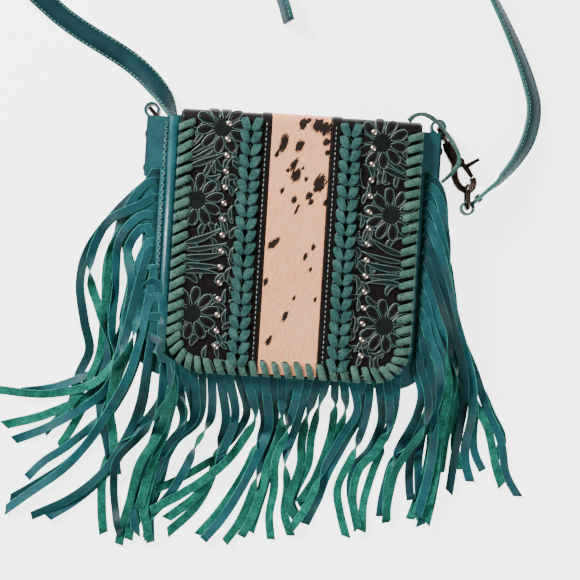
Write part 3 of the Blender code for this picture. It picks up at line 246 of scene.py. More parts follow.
# Cross-sections as points across and up, from -1 to 1, anticlockwise seen from the far end
FLAT = ((-1.0, -0.7), (-0.35, -1.0), (0.35, -1.0), (1.0, -0.7), (1.0, 0.7), (0.35, 1.0),
        (-0.35, 1.0), (-1.0, 0.7))
RIBBON = ((-1.0, -0.5), (-0.86, -1.0), (-0.7, -1.0), (0.7, -1.0), (0.86, -1.0), (1.0, -0.5),
          (1.0, 0.5), (0.86, 1.0), (0.7, 1.0), (-0.7, 1.0), (-0.86, 1.0), (-1.0, 0.5))
RIBBON_LOOKS = (2, 1, 1, 1, 2, 2, 2, 0, 0, 0, 2, 2)
LEAF = ((-0.9, -1.0), (0.9, -1.0), (1.0, -0.3), (0.99, 0.5), (0.93, 0.9), (0.78, 1.0),
        (-0.78, 1.0), (-0.93, 0.9), (-0.99, 0.5), (-1.0, -0.3))
PILLOW = ((-0.8, -1.0), (0.8, -1.0), (1.0, -0.35), (0.93, 0.25), (0.6, 0.8), (0.0, 1.0),
          (-0.6, 0.8), (-0.93, 0.25), (-1.0, -0.35))


def sweep(bm, stations, section, looks=None, shade=None):
    """Closed strip through stations of centre, half width vector and half thickness vector."""
    layer = bm.verts.layers.float.get("shade") if shade is not None else None
    rings = []
    for centre, across, up in stations:
        ring = [bm.verts.new(centre + a * across + b * up) for a, b in section]
        if layer is not None:
            for vert in ring:
                vert[layer] = shade
        rings.append(ring)
    count = len(section)
    for first, second in zip(rings, rings[1:]):
        for i in range(count):
            j = (i + 1) % count
            face = bm.faces.new((first[i], first[j], second[j], second[i]))
            face.smooth = True
            if looks:
                face.material_index = looks[i]
    for ring in (rings[0], rings[-1][::-1]):
        face = bm.faces.new(ring)
        if looks:
            face.material_index = max(looks)


def new_object(name, data):
    made = bpy.data.objects.new(name, data)
    bpy.context.collection.objects.link(made)
    return made


def upward(z):
    return Vector((0.0, 0.0, z))


def ahead_at(points, i):
    """Heading at a point of a path, from its neighbours."""
    return (points[min(i + 1, len(points) - 1)] - points[max(i - 1, 0)]).normalized()


def level_to(ahead):
    """Level direction square to a heading."""
    return Vector((-ahead.y, ahead.x, 0.0)).normalized()


def length_of(path):
    return sum((b - a).length for a, b in zip(path, path[1:]))


def add_piece(name, bm, materials, body, replaced=()):
    """New piece from a built mesh, riding on a body, in place of the solids it replaces."""
    bmesh.ops.recalc_face_normals(bm, faces=bm.faces)
    mesh = bpy.data.meshes.new(name)
    bm.to_mesh(mesh)
    bm.free()
    piece = new_object(name, mesh)
    for material in materials:
        mesh.materials.append(material)
    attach(piece, body)
    if replaced:
        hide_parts(*replaced)
    return piece


def smooth_route(stations, step):
    """Evenly spaced stations on a smooth curve through the given ones."""
    knots = [Vector(s) for s in stations]
    knots = [2 * knots[0] - knots[1]] + knots + [2 * knots[-1] - knots[-2]]
    fine = []
    for p0, p1, p2, p3 in zip(knots, knots[1:], knots[2:], knots[3:]):
        parts = max(2, round((p2 - p1).to_3d().length / step))
        for i in range(parts):
            t = i / parts
            fine.append(0.5 * (2 * p1 + (p2 - p0) * t + (2 * p0 - 5 * p1 + 4 * p2 - p3) * t * t
                               + (3 * p1 - p0 - 3 * p2 + p3) * t ** 3))
    fine.append(Vector(stations[-1]))
    return fine


def arc(centre, radius, start, end, count):
    """Points on an arc, angles in degrees."""
    turns = [math.radians(start + (end - start) * i / count) for i in range(count + 1)]
    return [(centre[0] + radius * math.cos(a), centre[1] + radius * math.sin(a)) for a in turns]


# Fringe

STRAND_W = 0.0077
STRAND_T = 0.001
STRAND_SLIT = 0.0006
HEADER_W = 0.0055
HEADER_T = 0.0016
SIDE_STRANDS = 21
BOTTOM_STRANDS = 27
ROUTE_POINTS = 88
STRAND_GAP = 0.0002
STRAND_FALL = 0.9
LEFT_ROOTS = (0.064, -0.088)
RIGHT_ROOTS = (0.074, -0.087)
BOTTOM_ROOTS = (-0.098, 0.103)
SIDE_ROOT_OUT = 0.006
BOTTOM_ROOT_OUT = 0.009
HEAP_CELL = 0.0015
UNDER_FLAP_POINTS = 7
ROLL_LIFT = 0.8
WOBBLE = 16.0
EASE_SHARE = 0.25
NEAR_REACH = 0.0022
FAR_REACH = 0.0044

# Guide strands: place along the header from 0 to 100, then x and y of each picture point passed
LEFT_GUIDES = (
    (0, 150, 180, 112, 208, 82, 240, 71, 275, 77, 315, 86, 345, 76, 372, 72, 402),
    (8, 142, 190, 124, 215, 108, 245, 102, 290, 97, 340, 88, 380, 56, 424, 30, 450),
    (16, 138, 206, 104, 220, 86, 250, 84, 282, 94, 315, 98, 352, 88, 400, 96, 460),
    (25, 140, 215, 118, 240, 113, 285, 110, 325, 112, 352, 92, 378, 45, 388, -4, 383),
    (34, 146, 222, 127, 245, 132, 280, 122, 320, 116, 356, 96, 392, 40, 422, -4, 436),
    (42, 148, 250, 134, 295, 124, 335, 116, 362, 114, 395, 126, 425, 136, 448, 143, 466),
    (50, 150, 262, 140, 305, 128, 345, 112, 378, 92, 418, 58, 447, 30, 464, 12, 480),
    (58, 156, 275, 150, 312, 142, 350, 130, 385, 104, 425, 70, 470, 35, 497, 5, 518),
    (66, 160, 285, 154, 330, 146, 368, 138, 405, 122, 442, 98, 476, 62, 503, 18, 519),
    (75, 164, 300, 168, 345, 168, 385, 162, 430, 150, 470, 141, 505, 147, 525, 150, 540),
    (83, 166, 318, 173, 350, 172, 378, 160, 425, 138, 462, 126, 500, 116, 525, 111, 541),
    (92, 168, 345, 170, 385, 156, 412, 130, 436, 104, 458, 98, 485, 101, 512, 107, 536),
    (100, 172, 362, 176, 398, 168, 440, 160, 472, 152, 505, 142, 520, 138, 532, 136, 543),
)
BOTTOM_GUIDES = (
    (0, 178, 420, 164, 450, 154, 486, 140, 508, 126, 513),
    (8, 190, 418, 170, 444, 154, 478, 148, 510, 148, 541),
    (16, 198, 420, 170, 446, 146, 478, 132, 512, 120, 541),
    (24, 223, 420, 214, 450, 205, 480, 188, 508, 160, 532),
    (32, 250, 416, 236, 444, 217, 466, 176, 492, 128, 512),
    (40, 265, 424, 255, 452, 240, 482, 216, 516, 192, 542),
    (47, 272, 430, 258, 465, 246, 500, 234, 525, 220, 543),
    (53, 286, 430, 272, 468, 262, 505, 256, 525, 250, 544),
    (60, 292, 430, 280, 462, 282, 492, 279, 520, 285, 544),
    (66, 304, 436, 302, 466, 290, 492, 286, 508, 298, 524),
    (73, 334, 430, 324, 458, 312, 484, 303, 496, 290, 508),
    (80, 358, 412, 342, 442, 324, 475, 310, 508, 292, 535),
    (87, 366, 420, 356, 456, 342, 490, 345, 515, 352, 540),
    (93, 387, 424, 374, 452, 356, 470, 350, 498, 356, 530),
    (100, 396, 412, 386, 442, 376, 476, 366, 505, 362, 532),
)
RIGHT_GUIDES = (
    (0, 440, 188, 447, 225, 453, 285, 458, 330, 474, 366, 492, 388, 504, 412, 517, 436, 511, 460),
    (10, 438, 205, 447, 245, 451, 290, 457, 328, 472, 372, 486, 415, 502, 446, 508, 480, 520, 503),
    (22, 438, 240, 446, 280, 454, 318, 463, 352, 471, 385, 470, 415, 464, 440, 464, 460, 471, 478),
    (34, 438, 272, 446, 305, 455, 338, 462, 368, 464, 398, 459, 425, 453, 450, 450, 470, 447, 487),
    (46, 438, 300, 447, 328, 453, 356, 456, 386, 450, 415, 443, 440, 441, 466, 438, 492, 432, 519),
    (58, 434, 320, 443, 346, 447, 374, 448, 402, 443, 430, 438, 455, 436, 478, 433, 498, 428, 519),
    (70, 430, 338, 438, 362, 441, 388, 434, 415, 434, 440, 432, 465, 427, 490, 420, 512, 412, 534),
    (80, 426, 350, 432, 374, 432, 398, 426, 420, 420, 442, 417, 460, 417, 474, 418, 487, 420, 499),
    (90, 420, 362, 427, 386, 429, 410, 424, 432, 410, 452, 396, 472, 390, 492, 386, 510, 384, 528),
    (100, 414, 372, 419, 396, 413, 420, 402, 442, 392, 462, 387, 480, 384, 498, 383, 514, 383, 530),
)


class Heap:
    """Heights of what already lies on the table, on a grid of square cells."""

    def __init__(self):
        self.tops = {}

    def cells(self, x, y, reach):
        low_i, high_i = int((x - reach) // HEAP_CELL), int((x + reach) // HEAP_CELL)
        low_j, high_j = int((y - reach) // HEAP_CELL), int((y + reach) // HEAP_CELL)
        return [(i, j) for i in range(low_i, high_i + 1) for j in range(low_j, high_j + 1)]

    def top(self, x, y, reach):
        return max(self.tops.get(cell, 0.0) for cell in self.cells(x, y, reach))

    def raise_to(self, x, y, reach, height):
        for cell in self.cells(x, y, reach):
            self.tops[cell] = max(self.tops.get(cell, 0.0), height)

    def raise_box(self, x_range, y_range, height):
        for i in range(int((x_range[1] - x_range[0]) / HEAP_CELL) + 2):
            for j in range(int((y_range[1] - y_range[0]) / HEAP_CELL) + 2):
                x = min(x_range[0] + i * HEAP_CELL, x_range[1])
                y = min(y_range[0] + j * HEAP_CELL, y_range[1])
                self.raise_to(x, y, 0.0, height)


def even_path(points, count):
    """The same number of evenly spaced places along a smooth path."""
    fine = smooth_route([(p.x, p.y, 0.0, 0.0) for p in points], 0.002)
    runs = [0.0]
    for a, b in zip(fine, fine[1:]):
        runs.append(runs[-1] + (b - a).length)
    places = []
    j = 0
    for i in range(count + 1):
        goal = runs[-1] * i / count
        while j < len(runs) - 2 and runs[j + 1] < goal:
            j += 1
        share = (goal - runs[j]) / max(runs[j + 1] - runs[j], 1e-9)
        places.append(fine[j].lerp(fine[j + 1], min(share, 1.0)).to_2d())
    return places


def clear_of_flap(place, side):
    """Moves a side strand's place out from the flap's edge."""
    edge = FLAP_SHIFT + side * (FLAP_HALF_W + LACE_T + STRAND_W / 2 + CLEARANCE)
    if place.y < FLAP_END_Y + 0.35 * FLAP_CORNER or side * (place.x - edge) > 0:
        return place
    return Vector((edge, place.y))


def strand_routes(guides, roots, out, seed, side):
    """One route on the table for each strand, blended from the guides beside it."""
    chance = random.Random(seed)
    shares = [row[0] / 100 for row in guides]
    first, last = roots
    shapes = []
    for share, (_, *row) in zip(shares, guides):
        root = first.lerp(last, share)
        stops = [root, root + out * (SIDE_ROOT_OUT if side else BOTTOM_ROOT_OUT)]
        stops += [on_table(p).to_2d() for p in zip(row[::2], row[1::2])]
        shapes.append([p - root for p in even_path(stops, ROUTE_POINTS)])
    count = SIDE_STRANDS if side else BOTTOM_STRANDS
    routes = []
    for k in range(count):
        share = (k + 0.5) / count
        right = next(i for i, s in enumerate(shares) if s >= share)
        left = max(right - 1, 0)
        span = max(shares[right] - shares[left], 1e-6)
        mix = (share - shares[left]) / span
        # Strands gather towards their nearer guide
        mix = 0.5 + (mix - 0.5) * 0.6 + (0.2 if mix > 0.5 else -0.2) + chance.uniform(-0.08, 0.08)
        mix = min(max(mix, 0.0), 1.0)
        root = first.lerp(last, share)
        turn = Matrix.Rotation(math.radians(chance.uniform(-2.5, 2.5)), 2)
        size = chance.uniform(0.94, 1.03)
        route = []
        for i, (a, b) in enumerate(zip(shapes[left], shapes[right])):
            ease = min(1.0, i / (EASE_SHARE * ROUTE_POINTS))
            offset = a.lerp(b, mix)
            place = root + offset.lerp(turn @ offset * size, ease)
            if side:
                place = clear_of_flap(place, side)
            route.append(place)
        routes.append(route)
    return routes


def strand_rolls(chance, count):
    """Turn of a strand about its own run: a slow wobble, and flips to its other side."""
    phase, pace = chance.uniform(0, math.tau), chance.uniform(1.2, 2.6)
    flips = []
    total = 0.0
    for _ in range(chance.choice((0, 1, 1, 1, 1, 2))):
        way = chance.choice((-1, 1)) if total == 0 else -math.copysign(1, total)
        total += way * 180.0
        flips.append((chance.uniform(0.2, 0.68), chance.uniform(0.14, 0.28), way * 180.0))
    rolls = []
    for i in range(count):
        share = i / (count - 1)
        ease = min(1.0, share / 0.3)
        roll = WOBBLE * math.sin(phase + pace * math.tau * share) * ease
        for middle, span, amount in flips:
            t = min(max((share - middle) / span + 0.5, 0.0), 1.0)
            roll += amount * t * t * (3 - 2 * t)
        rolls.append(math.radians(roll))
    return rolls


def lay_strand(below, heap, route, rolls, start_z):
    """Centre heights for the strand, laid over what is there, then added to the heap."""
    rises = [STRAND_W / 2 * abs(math.sin(r)) for r in rolls]
    need = [max(below.top(p.x, p.y, FAR_REACH), heap.top(p.x, p.y, NEAR_REACH))
            + STRAND_T / 2 + STRAND_GAP + ROLL_LIFT * rise for p, rise in zip(route, rises)]
    need[0] = start_z
    drop = (route[2] - route[1]).length * STRAND_FALL
    for j in range(1, len(need)):
        need[j] = max(need[j], need[j - 1] - drop)
    for j in range(len(need) - 2, 0, -1):
        need[j] = max(need[j], need[j + 1] - drop)
    for _ in range(2):
        middle = [(a + b + c) / 3 for a, b, c in zip(need, need[1:], need[2:])]
        need = [need[0]] + middle + [need[-1]]
    for j in range(1, UNDER_FLAP_POINTS):
        need[j] = min(need[j], FLAP_LOW - CLEARANCE - STRAND_T)
    for place, height in zip(route, need):
        heap.raise_to(place.x, place.y, NEAR_REACH, height + STRAND_T / 2)
    return need


def make_fringe(word, below, guides, roots, out, seed, side):
    """Header strip and its strands, cut from one piece of leather."""
    heap = Heap()
    routes = strand_routes(guides, roots, out, seed, side)
    chance = random.Random(seed + 20)
    count = len(routes)
    first, last = roots
    header_z = GUSSET_TOP + CLEARANCE + HEADER_T / 2
    rolls = {k: strand_rolls(chance, ROUTE_POINTS + 1) for k in range(count)}
    heights = {}
    for k in list(range(0, count, 2)) + list(range(1, count, 2)):
        heights[k] = lay_strand(below, heap, routes[k], rolls[k], header_z)
    bm = bmesh.new()
    bm.verts.layers.float.new("shade")
    inward = -out.to_3d() * HEADER_W / 2
    header = [(p.to_3d() + inward + upward(header_z), inward, upward(HEADER_T / 2))
              for p in roots]
    sweep(bm, header, FLAT, (1, 1, 1, 2, 0, 0, 0, 2), 0.2)
    along = (last - first).normalized().to_3d()
    for k, route in enumerate(routes):
        width = STRAND_W * chance.uniform(0.9, 1.04)
        cup = chance.uniform(0.1, 0.5) * chance.choice((-1, 1))
        slant = chance.uniform(-0.9, 0.9)
        shade = chance.random() ** 2
        places = [p.to_3d() + upward(z) for p, z in zip(route, heights[k])]
        stations = []
        level = along
        for i in range(0, len(places), 2):
            ahead = ahead_at(places, i)
            fresh = level_to(ahead)
            if fresh.dot(level) < 0:
                fresh.negate()
            level = fresh
            half = width / 2
            if i == 0:
                level = along
                half = (last - first).length / count / 2 - STRAND_SLIT / 2
            across = Matrix.Rotation(rolls[k][i], 3, ahead) @ level
            up = ahead.cross(across).normalized()
            if up.z * math.cos(rolls[k][i]) < 0:
                up.negate()
            stations.append((places[i], across * half, up * STRAND_T / 2))
        ahead = (stations[-1][0] - stations[-2][0]).normalized()
        section = [(a, b + cup * (a * a - 0.5)) for a, b in RIBBON]
        sweep(bm, stations, section, RIBBON_LOOKS, shade)
        bm.verts.ensure_lookup_table()
        tip = bm.verts[-len(section):]
        for vert, (a, b) in zip(tip, section):
            vert.co += ahead * (slant * a * width / 2)
    for cell, height in heap.tops.items():
        below.tops[cell] = max(below.tops.get(cell, 0.0), height)
    add_piece("fringe_strands_" + word, bm, (STRAND_GRAIN, STRAND_SUEDE, STRAND_EDGE), "bag",
              ["fringe_" + word])


def make_fringes():
    heap = Heap()
    rim = BODY_HALF_W + CLEARANCE
    heap.raise_box((-rim, rim), (-BODY_HALF_H, BODY_HALF_H), GUSSET_TOP + CLEARANCE)
    seam = FRONT_HALF_W + CLEARANCE + HEADER_W
    bottom_y = FRONT_END_Y - CLEARANCE - HEADER_W
    bottom = [Vector((x, bottom_y)) for x in BOTTOM_ROOTS]
    make_fringe("bottom", heap, BOTTOM_GUIDES, bottom, Vector((0.0, -1.0)), 5, 0)
    left = [Vector((-seam, y)) for y in LEFT_ROOTS]
    make_fringe("left", heap, LEFT_GUIDES, left, Vector((-1.0, 0.0)), 3, -1)
    right = [Vector((seam, y)) for y in RIGHT_ROOTS]
    make_fringe("right", heap, RIGHT_GUIDES, right, Vector((1.0, 0.0)), 4, 1)


# Whipstitch and chevron lacing

LACE_W = 0.0059
LACE_DEPTH = 0.0116
LACE_PITCH = 0.0094
LACE_LEAN = 0.004
LEFT_LACE_LEAN = 0.0064
LACE_T = 0.0014
# Lace from its hole over the face, round the edge and under the flap: share of its depth, height
LACE_PROFILE = (
    (1.0, FACE - 0.0009), (0.96, FACE + 0.0006), (0.82, FACE + 0.0013), (0.5, FACE + 0.0016),
    (0.2, FACE + 0.0013), (0.03, FACE + 0.0004), (-0.06, FACE - 0.0012),
    (-0.07, FLAP_LOW + 0.0012), (0.0, FLAP_LOW - 0.0006), (0.3, FLAP_LOW - 0.0009),
)


def cup_path(middle, half, bottom, top, corner, count):
    """Down the left side, round the bottom's corners and up the right side."""
    left = arc((middle - half + corner, bottom + corner), corner, 180.0, 270.0, count)
    right = arc((middle + half - corner, bottom + corner), corner, 270.0, 360.0, count)
    return [(middle - half, top)] + left + right + [(middle + half, top)]


def point_along(path, distance):
    """Place and heading at a distance along a path."""
    heading = (path[1] - path[0]).normalized()
    for first, second in zip(path, path[1:]):
        run = (second - first).length
        heading = (second - first).normalized()
        if distance <= run:
            return first + heading * distance, heading
        distance -= run
    return path[-1], heading


def make_whipstitch():
    """Laces round the flap's edge, each with a dark patch painted as the shade of the hole that it
    goes into.
    """
    path = [Vector(p) for p in
            cup_path(FLAP_SHIFT, FLAP_HALF_W, FLAP_END_Y, FACE_END_Y, FLAP_CORNER, 12)]
    total = length_of(path)
    count = int(total / LACE_PITCH)
    chance = random.Random(8)
    bm = bmesh.new()
    hole_shade_patches = bmesh.new()
    for i in range(count):
        place, heading = point_along(path, (i + 0.5) * total / count)
        inward = Vector((-heading.y, heading.x)).to_3d()
        along = heading.to_3d()
        lean = (LEFT_LACE_LEAN if heading.y < -0.9 else LACE_LEAN) * chance.uniform(0.85, 1.15)
        depth = LACE_DEPTH * chance.uniform(0.94, 1.06)
        width = LACE_W * chance.uniform(0.93, 1.07)
        stations = []
        for share, height in LACE_PROFILE:
            slide = along * (lean * (0.5 - share if height > FLAP_TOP else 0.5 + share))
            centre = place.to_3d() + inward * (depth * share) + slide
            centre.z = height
            stations.append(centre)
        rings = []
        for k, centre in enumerate(stations):
            ahead = ahead_at(stations, k)
            across = (along - ahead * along.dot(ahead)).normalized()
            up = across.cross(ahead).normalized()
            narrow = (0.45, 0.86, 1.0)[min(k, 2)]
            rings.append((centre, across * width / 2 * narrow, up * LACE_T / 2))
        sweep(bm, rings, LEAF)
        # Painted shade: a thin dark patch where the lace goes into its hole
        spot = place.to_3d() + inward * (depth * 1.02) - along * (lean * 0.5)
        spot.z = FACE + 0.0001
        sweep(hole_shade_patches, [(spot + inward * d, along * width * 0.4 * w, upward(0.0003))
                      for d, w in ((-0.001, 0.6), (0.0, 1.0), (0.0009, 0.7))], FLAT)
    add_piece("whipstitch_laces", bm, [LACE], "flap", ["whipstitch"])
    add_piece("lace_hole_painted_shade", hole_shade_patches, [DARK_GRAIN], "flap")


BRAID_HALF_W = 0.0062
BRAID_PITCH = 0.0104
BRAID_COUNT = 20
BRAID_OFFSET = 0.0418
LEAF_OVERLAP = 1.02
LEAF_FOOT = 0.0002
LEAF_TIP = 0.0017
LEAF_BOW = 0.0014
LEAF_PART = 0.0009
LEAF_HALF_T = 0.0009
LEAF_HALF_W = 0.0035
LEAF_TAPER = (0.78, 0.95, 1.0, 1.0, 1.0, 0.97, 0.9, 0.8, 0.62, 0.32)


def make_braids():
    """Interlaced V's of two leaves each, the foot of every leaf under the V above it."""
    chance = random.Random(6)
    for side, word in ((-1, "left"), (1, "right")):
        bm = bmesh.new()
        x = FLAP_SHIFT + side * BRAID_OFFSET
        top = FACE_END_Y + 0.0005
        for i in range(BRAID_COUNT):
            tip_y = top - (i + 0.75) * BRAID_PITCH
            for half in (-1, 1):
                wide = BRAID_HALF_W * chance.uniform(0.94, 1.06)
                outer_y = tip_y + BRAID_PITCH * LEAF_OVERLAP
                start = Vector((x + half * wide, outer_y, FACE + LEAF_FOOT))
                end = Vector((x + half * LEAF_PART, tip_y + 0.0004, FACE + LEAF_TIP))
                bow = Vector((half * LEAF_PART, -0.0006, LEAF_BOW + 0.0003 * (half > 0)))
                shares = [k / (len(LEAF_TAPER) - 1) for k in range(len(LEAF_TAPER))]
                stations = [start.lerp(end, t) + bow * math.sin(math.pi * t) for t in shares]
                rings = []
                for k, centre in enumerate(stations):
                    ahead = ahead_at(stations, k)
                    across = level_to(ahead)
                    up = ahead.cross(across).normalized()
                    if up.z < 0:
                        up.negate()
                    rings.append((centre, across * (LEAF_HALF_W * LEAF_TAPER[k]), up * LEAF_HALF_T))
                sweep(bm, rings, LEAF)
        add_piece("chevron_laces_" + word, bm, [BRAID_LACE], "flap",
                  ["chevron_lacing_" + word])


# Flap face: a sheet bent over the fold, with its relief as heights over the face

STRIP_HALF_W = 0.0248
FOLD_RUN = FOLD_RADIUS + 0.004
DROP = 0.011
GRID = 0.00048
EDGE_INSET = 0.0012
EDGE_ROUND = 0.0009
EDGE_FALL = 0.0007


def bent(x, along, height):
    """Place on the flap: along runs from the bottom edge up, then round the fold and down."""
    radius = FOLD_RADIUS + height - FLAP_LOW
    turn = np.clip((along - FACE_END_Y) / FOLD_RUN, 0.0, math.pi / 2)
    past = np.maximum(along - FACE_END_Y - FOLD_RUN * math.pi / 2, 0.0)
    y = np.minimum(along, FACE_END_Y) + radius * np.sin(turn)
    z = FLAP_LOW - FOLD_RADIUS + radius * np.cos(turn) - past
    return np.stack([x, y, z], -1)


def outline_bottom(x, inset):
    """Lowest Y of the flap's rounded outline at each X."""
    half, corner = FLAP_HALF_W - inset, FLAP_CORNER - inset
    past = np.maximum(np.abs(x - FLAP_SHIFT) - (half - corner), 0.0)
    past = np.minimum(past, corner)
    return FLAP_END_Y + inset + corner - np.sqrt(corner * corner - past * past)


def face_sheet(name, x_from, x_to, height_of, material, replaced):
    """Fine solid sheet on the flap, up to a height given at each place."""
    end = FACE_END_Y + FOLD_RUN * math.pi / 2 + DROP
    columns = max(4, int(abs(x_to - x_from) / GRID))
    rows = int((end - FLAP_END_Y) / GRID)
    xs = np.linspace(x_from, x_to, columns + 1)
    shares = np.linspace(0.0, 1.0, rows + 1)
    bottom = outline_bottom(xs, EDGE_INSET)
    x = np.repeat(xs[:, None], rows + 1, 1)
    along = bottom[:, None] + shares[None, :] * (end - bottom[:, None])
    height, tone = height_of(x, along)
    rim = np.minimum(np.minimum(np.abs(x - x_from), np.abs(x - x_to)), along - bottom[:, None])
    height = height - EDGE_FALL * np.clip(1.0 - rim / EDGE_ROUND, 0.0, 1.0) ** 2
    top = bent(x, along, height).reshape(-1, 3)
    under = bent(x, along, np.full_like(x, FLAP_TOP + CLEARANCE)).reshape(-1, 3)
    size = len(top)
    index = np.arange(size).reshape(columns + 1, rows + 1)
    a, b = index[:-1, :-1].ravel(), index[1:, :-1].ravel()
    c, d = index[1:, 1:].ravel(), index[:-1, 1:].ravel()
    rim_path = np.concatenate([index[:, 0], index[-1, 1:], index[-2::-1, -1], index[0, -2:0:-1]])
    after = np.roll(rim_path, -1)
    # The underside is only a strip round the rim, as nothing shows the rest of it
    faces = np.concatenate([np.stack([a, b, c, d], 1),
                            np.stack([after, rim_path, rim_path + size, after + size], 1)])
    mesh = bpy.data.meshes.new(name)
    mesh.from_pydata(np.concatenate([top, under]).tolist(), [], faces.tolist())
    mesh.polygons.foreach_set("use_smooth", [True] * len(mesh.polygons))
    layer = mesh.attributes.new("tone", "FLOAT", "POINT")
    layer.data.foreach_set("value", np.concatenate([tone.ravel(), np.zeros(size)]))
    bm = bmesh.new()
    bm.from_mesh(mesh)
    loose = [v for v in bm.verts if not v.link_faces]
    bmesh.ops.delete(bm, geom=loose, context="VERTS")
    bpy.data.meshes.remove(mesh)
    add_piece(name, bm, [material], "flap", replaced)


def stroke(x, y, points, widths):
    """How far inside a tapered stroke each place is."""
    best = np.full_like(x, -1.0)
    for i, (p, q) in enumerate(zip(points, points[1:])):
        dx, dy = q[0] - p[0], q[1] - p[1]
        t = np.clip(((x - p[0]) * dx + (y - p[1]) * dy) / max(dx * dx + dy * dy, 1e-12), 0.0, 1.0)
        far = np.hypot(x - p[0] - t * dx, y - p[1] - t * dy)
        best = np.maximum(best, widths[i] + (widths[i + 1] - widths[i]) * t - far)
    return best


def crease(distance, width):
    """1 where the distance is nothing, falling away to both sides."""
    return np.exp(-(distance / width) ** 2)


def curl(start, heading, bend, length, width, count=10, foot=0.25):
    """Points and half widths of a leaf that curls as it runs, in degrees and metres."""
    points, widths = [Vector(start)], []
    for i in range(count + 1):
        angle = math.radians(heading + bend * i / count)
        share = i / count
        widths.append(width / 2 * (foot + (1 - foot) * math.sin(math.pi * share ** 0.7)))
        points.append(points[-1] + Vector((math.cos(angle), math.sin(angle))) * length / count)
    return [tuple(p) for p in points[:-1]], widths


# Carving in millimetres and degrees, placed by distance out from the flap's centreline and by Y:
# flower centres, petals as turn, length and width, then leaves as place, heading, bend, length
# and width
FLOWERS = {
    -1: ((84.2, 39.0), (82.6, -56.2), (66.0, 101.0)),
    1: ((79.5, 36.3), (79.3, -57.4), (68.0, 96.0)),
}
PETALS = ((-10.0, 11.5, 9.2), (26.0, 12.8, 9.6), (62.0, 11.8, 9.4), (98.0, 12.6, 9.2),
          (134.0, 11.6, 9.6), (170.0, 12.8, 9.2), (206.0, 11.8, 9.4), (242.0, 12.6, 9.6),
          (278.0, 11.6, 9.2), (313.0, 12.4, 9.4))
LEAVES = (
    (92, 78, 152, -40, 34, 4.2), (92, 72, 158, -30, 36, 4), (92, 67, 162, -12, 33, 4.6),
    (90, 84, 120, 20, 22, 3.4), (88, 92, 105, 45, 18, 3.2), (62, 66, 82, 95, 15, 3.6),
    (70, 62, 60, 60, 12, 3), (58, 76, 100, -60, 14, 3.4), (92, 3, 170, -32, 32, 4.6),
    (92, -3, 178, -22, 36, 3.8), (92, -9, 184, -30, 36, 4.8), (92, -15, 186, -12, 34, 4),
    (92, -22, 168, 26, 30, 4), (60, 8, 95, -45, 18, 3.4), (57, 12, 80, -30, 22, 3.2),
    (55, -28, 70, 80, 14, 3.6), (64, -30, 100, 60, 12, 3.2), (56, -46, 75, 40, 12, 3),
    (54, -64, 60, 70, 14, 3.4), (55, -80, 40, 60, 16, 3.2), (58, -92, 60, 60, 14, 3.4),
    (70, -94, 75, 50, 12, 3.4), (44, -88, 60, -30, 14, 2.6), (38, -90, 70, -30, 14, 2.6),
    (54, 24, 60, 70, 13, 3.2), (55, 44, 90, -70, 13, 3.4), (58, 52, 60, 60, 10, 3),
    (52, -10, 70, 60, 12, 2.8), (34, 60, 80, 60, 10, 2.4), (33, 30, 100, -60, 10, 2.4),
    (34, 0, 80, 60, 10, 2.4), (33, -30, 100, -60, 10, 2.4), (34, -60, 80, 60, 10, 2.4),
    (34, 88, 100, -60, 10, 2.4),
)
LEAF_BREADTH = 1.3
PETAL_WIDTHS = (0.3, 0.46, 0.66, 0.84, 0.98, 1.0, 0.9)
PETAL_FOOT = 0.0065
DISC_R = 0.0076
BEAD_PITCH = 0.0015
BAND_EDGE = 0.0336
GROUND = -0.0008
GRIT = 0.0003
# Rise of a shape, width of its rim, and how far colour is rubbed into it
LEAF_RELIEF = (0.0009, 0.0005, 0.18)
PETAL_RELIEF = (0.001, 0.0006, 0.08)
SCROLL_STEP = 13.0


def press(height, tone, inside, rise, line, rub):
    """Presses a shape in: a cut round it, a raised rim painted pale as a highlight, then a hollow
    middle.
    """
    here = inside > 0.0
    # Painted highlight: the rim's tone lightens a thin line along each shape's raised edge
    rim = crease(inside - line, 0.0005)
    cut = crease(inside, 0.0003)
    hollow = np.clip((inside - 1.6 * line) / 0.0007, 0.0, 1.0)
    level = rise * np.clip(inside / 0.0005, 0.0, 1.0) - 0.00035 * hollow
    height = np.where(here, level, height) - 0.0003 * np.where(here, 0.0, cut)
    tone = np.where(here, rub, tone)
    tone = np.maximum(tone * (1.0 - 0.8 * cut), np.where(here, rim, 0.0))
    return height, tone


def scrolls(chance):
    """Small curls that fill the ground between the main leaves, as rows like theirs."""
    made = []
    for v in np.arange(-96.0, 108.0, SCROLL_STEP):
        for u in np.arange(40.0, 92.0, SCROLL_STEP):
            bend = chance.uniform(70.0, 170.0) * chance.choice((-1.0, 1.0))
            made.append((u + chance.uniform(-3.0, 3.0), v + chance.uniform(-2.0, 2.0),
                         chance.uniform(0.0, 360.0), bend, chance.uniform(14.0, 20.0),
                         chance.uniform(3.4, 5.0)))
    return made


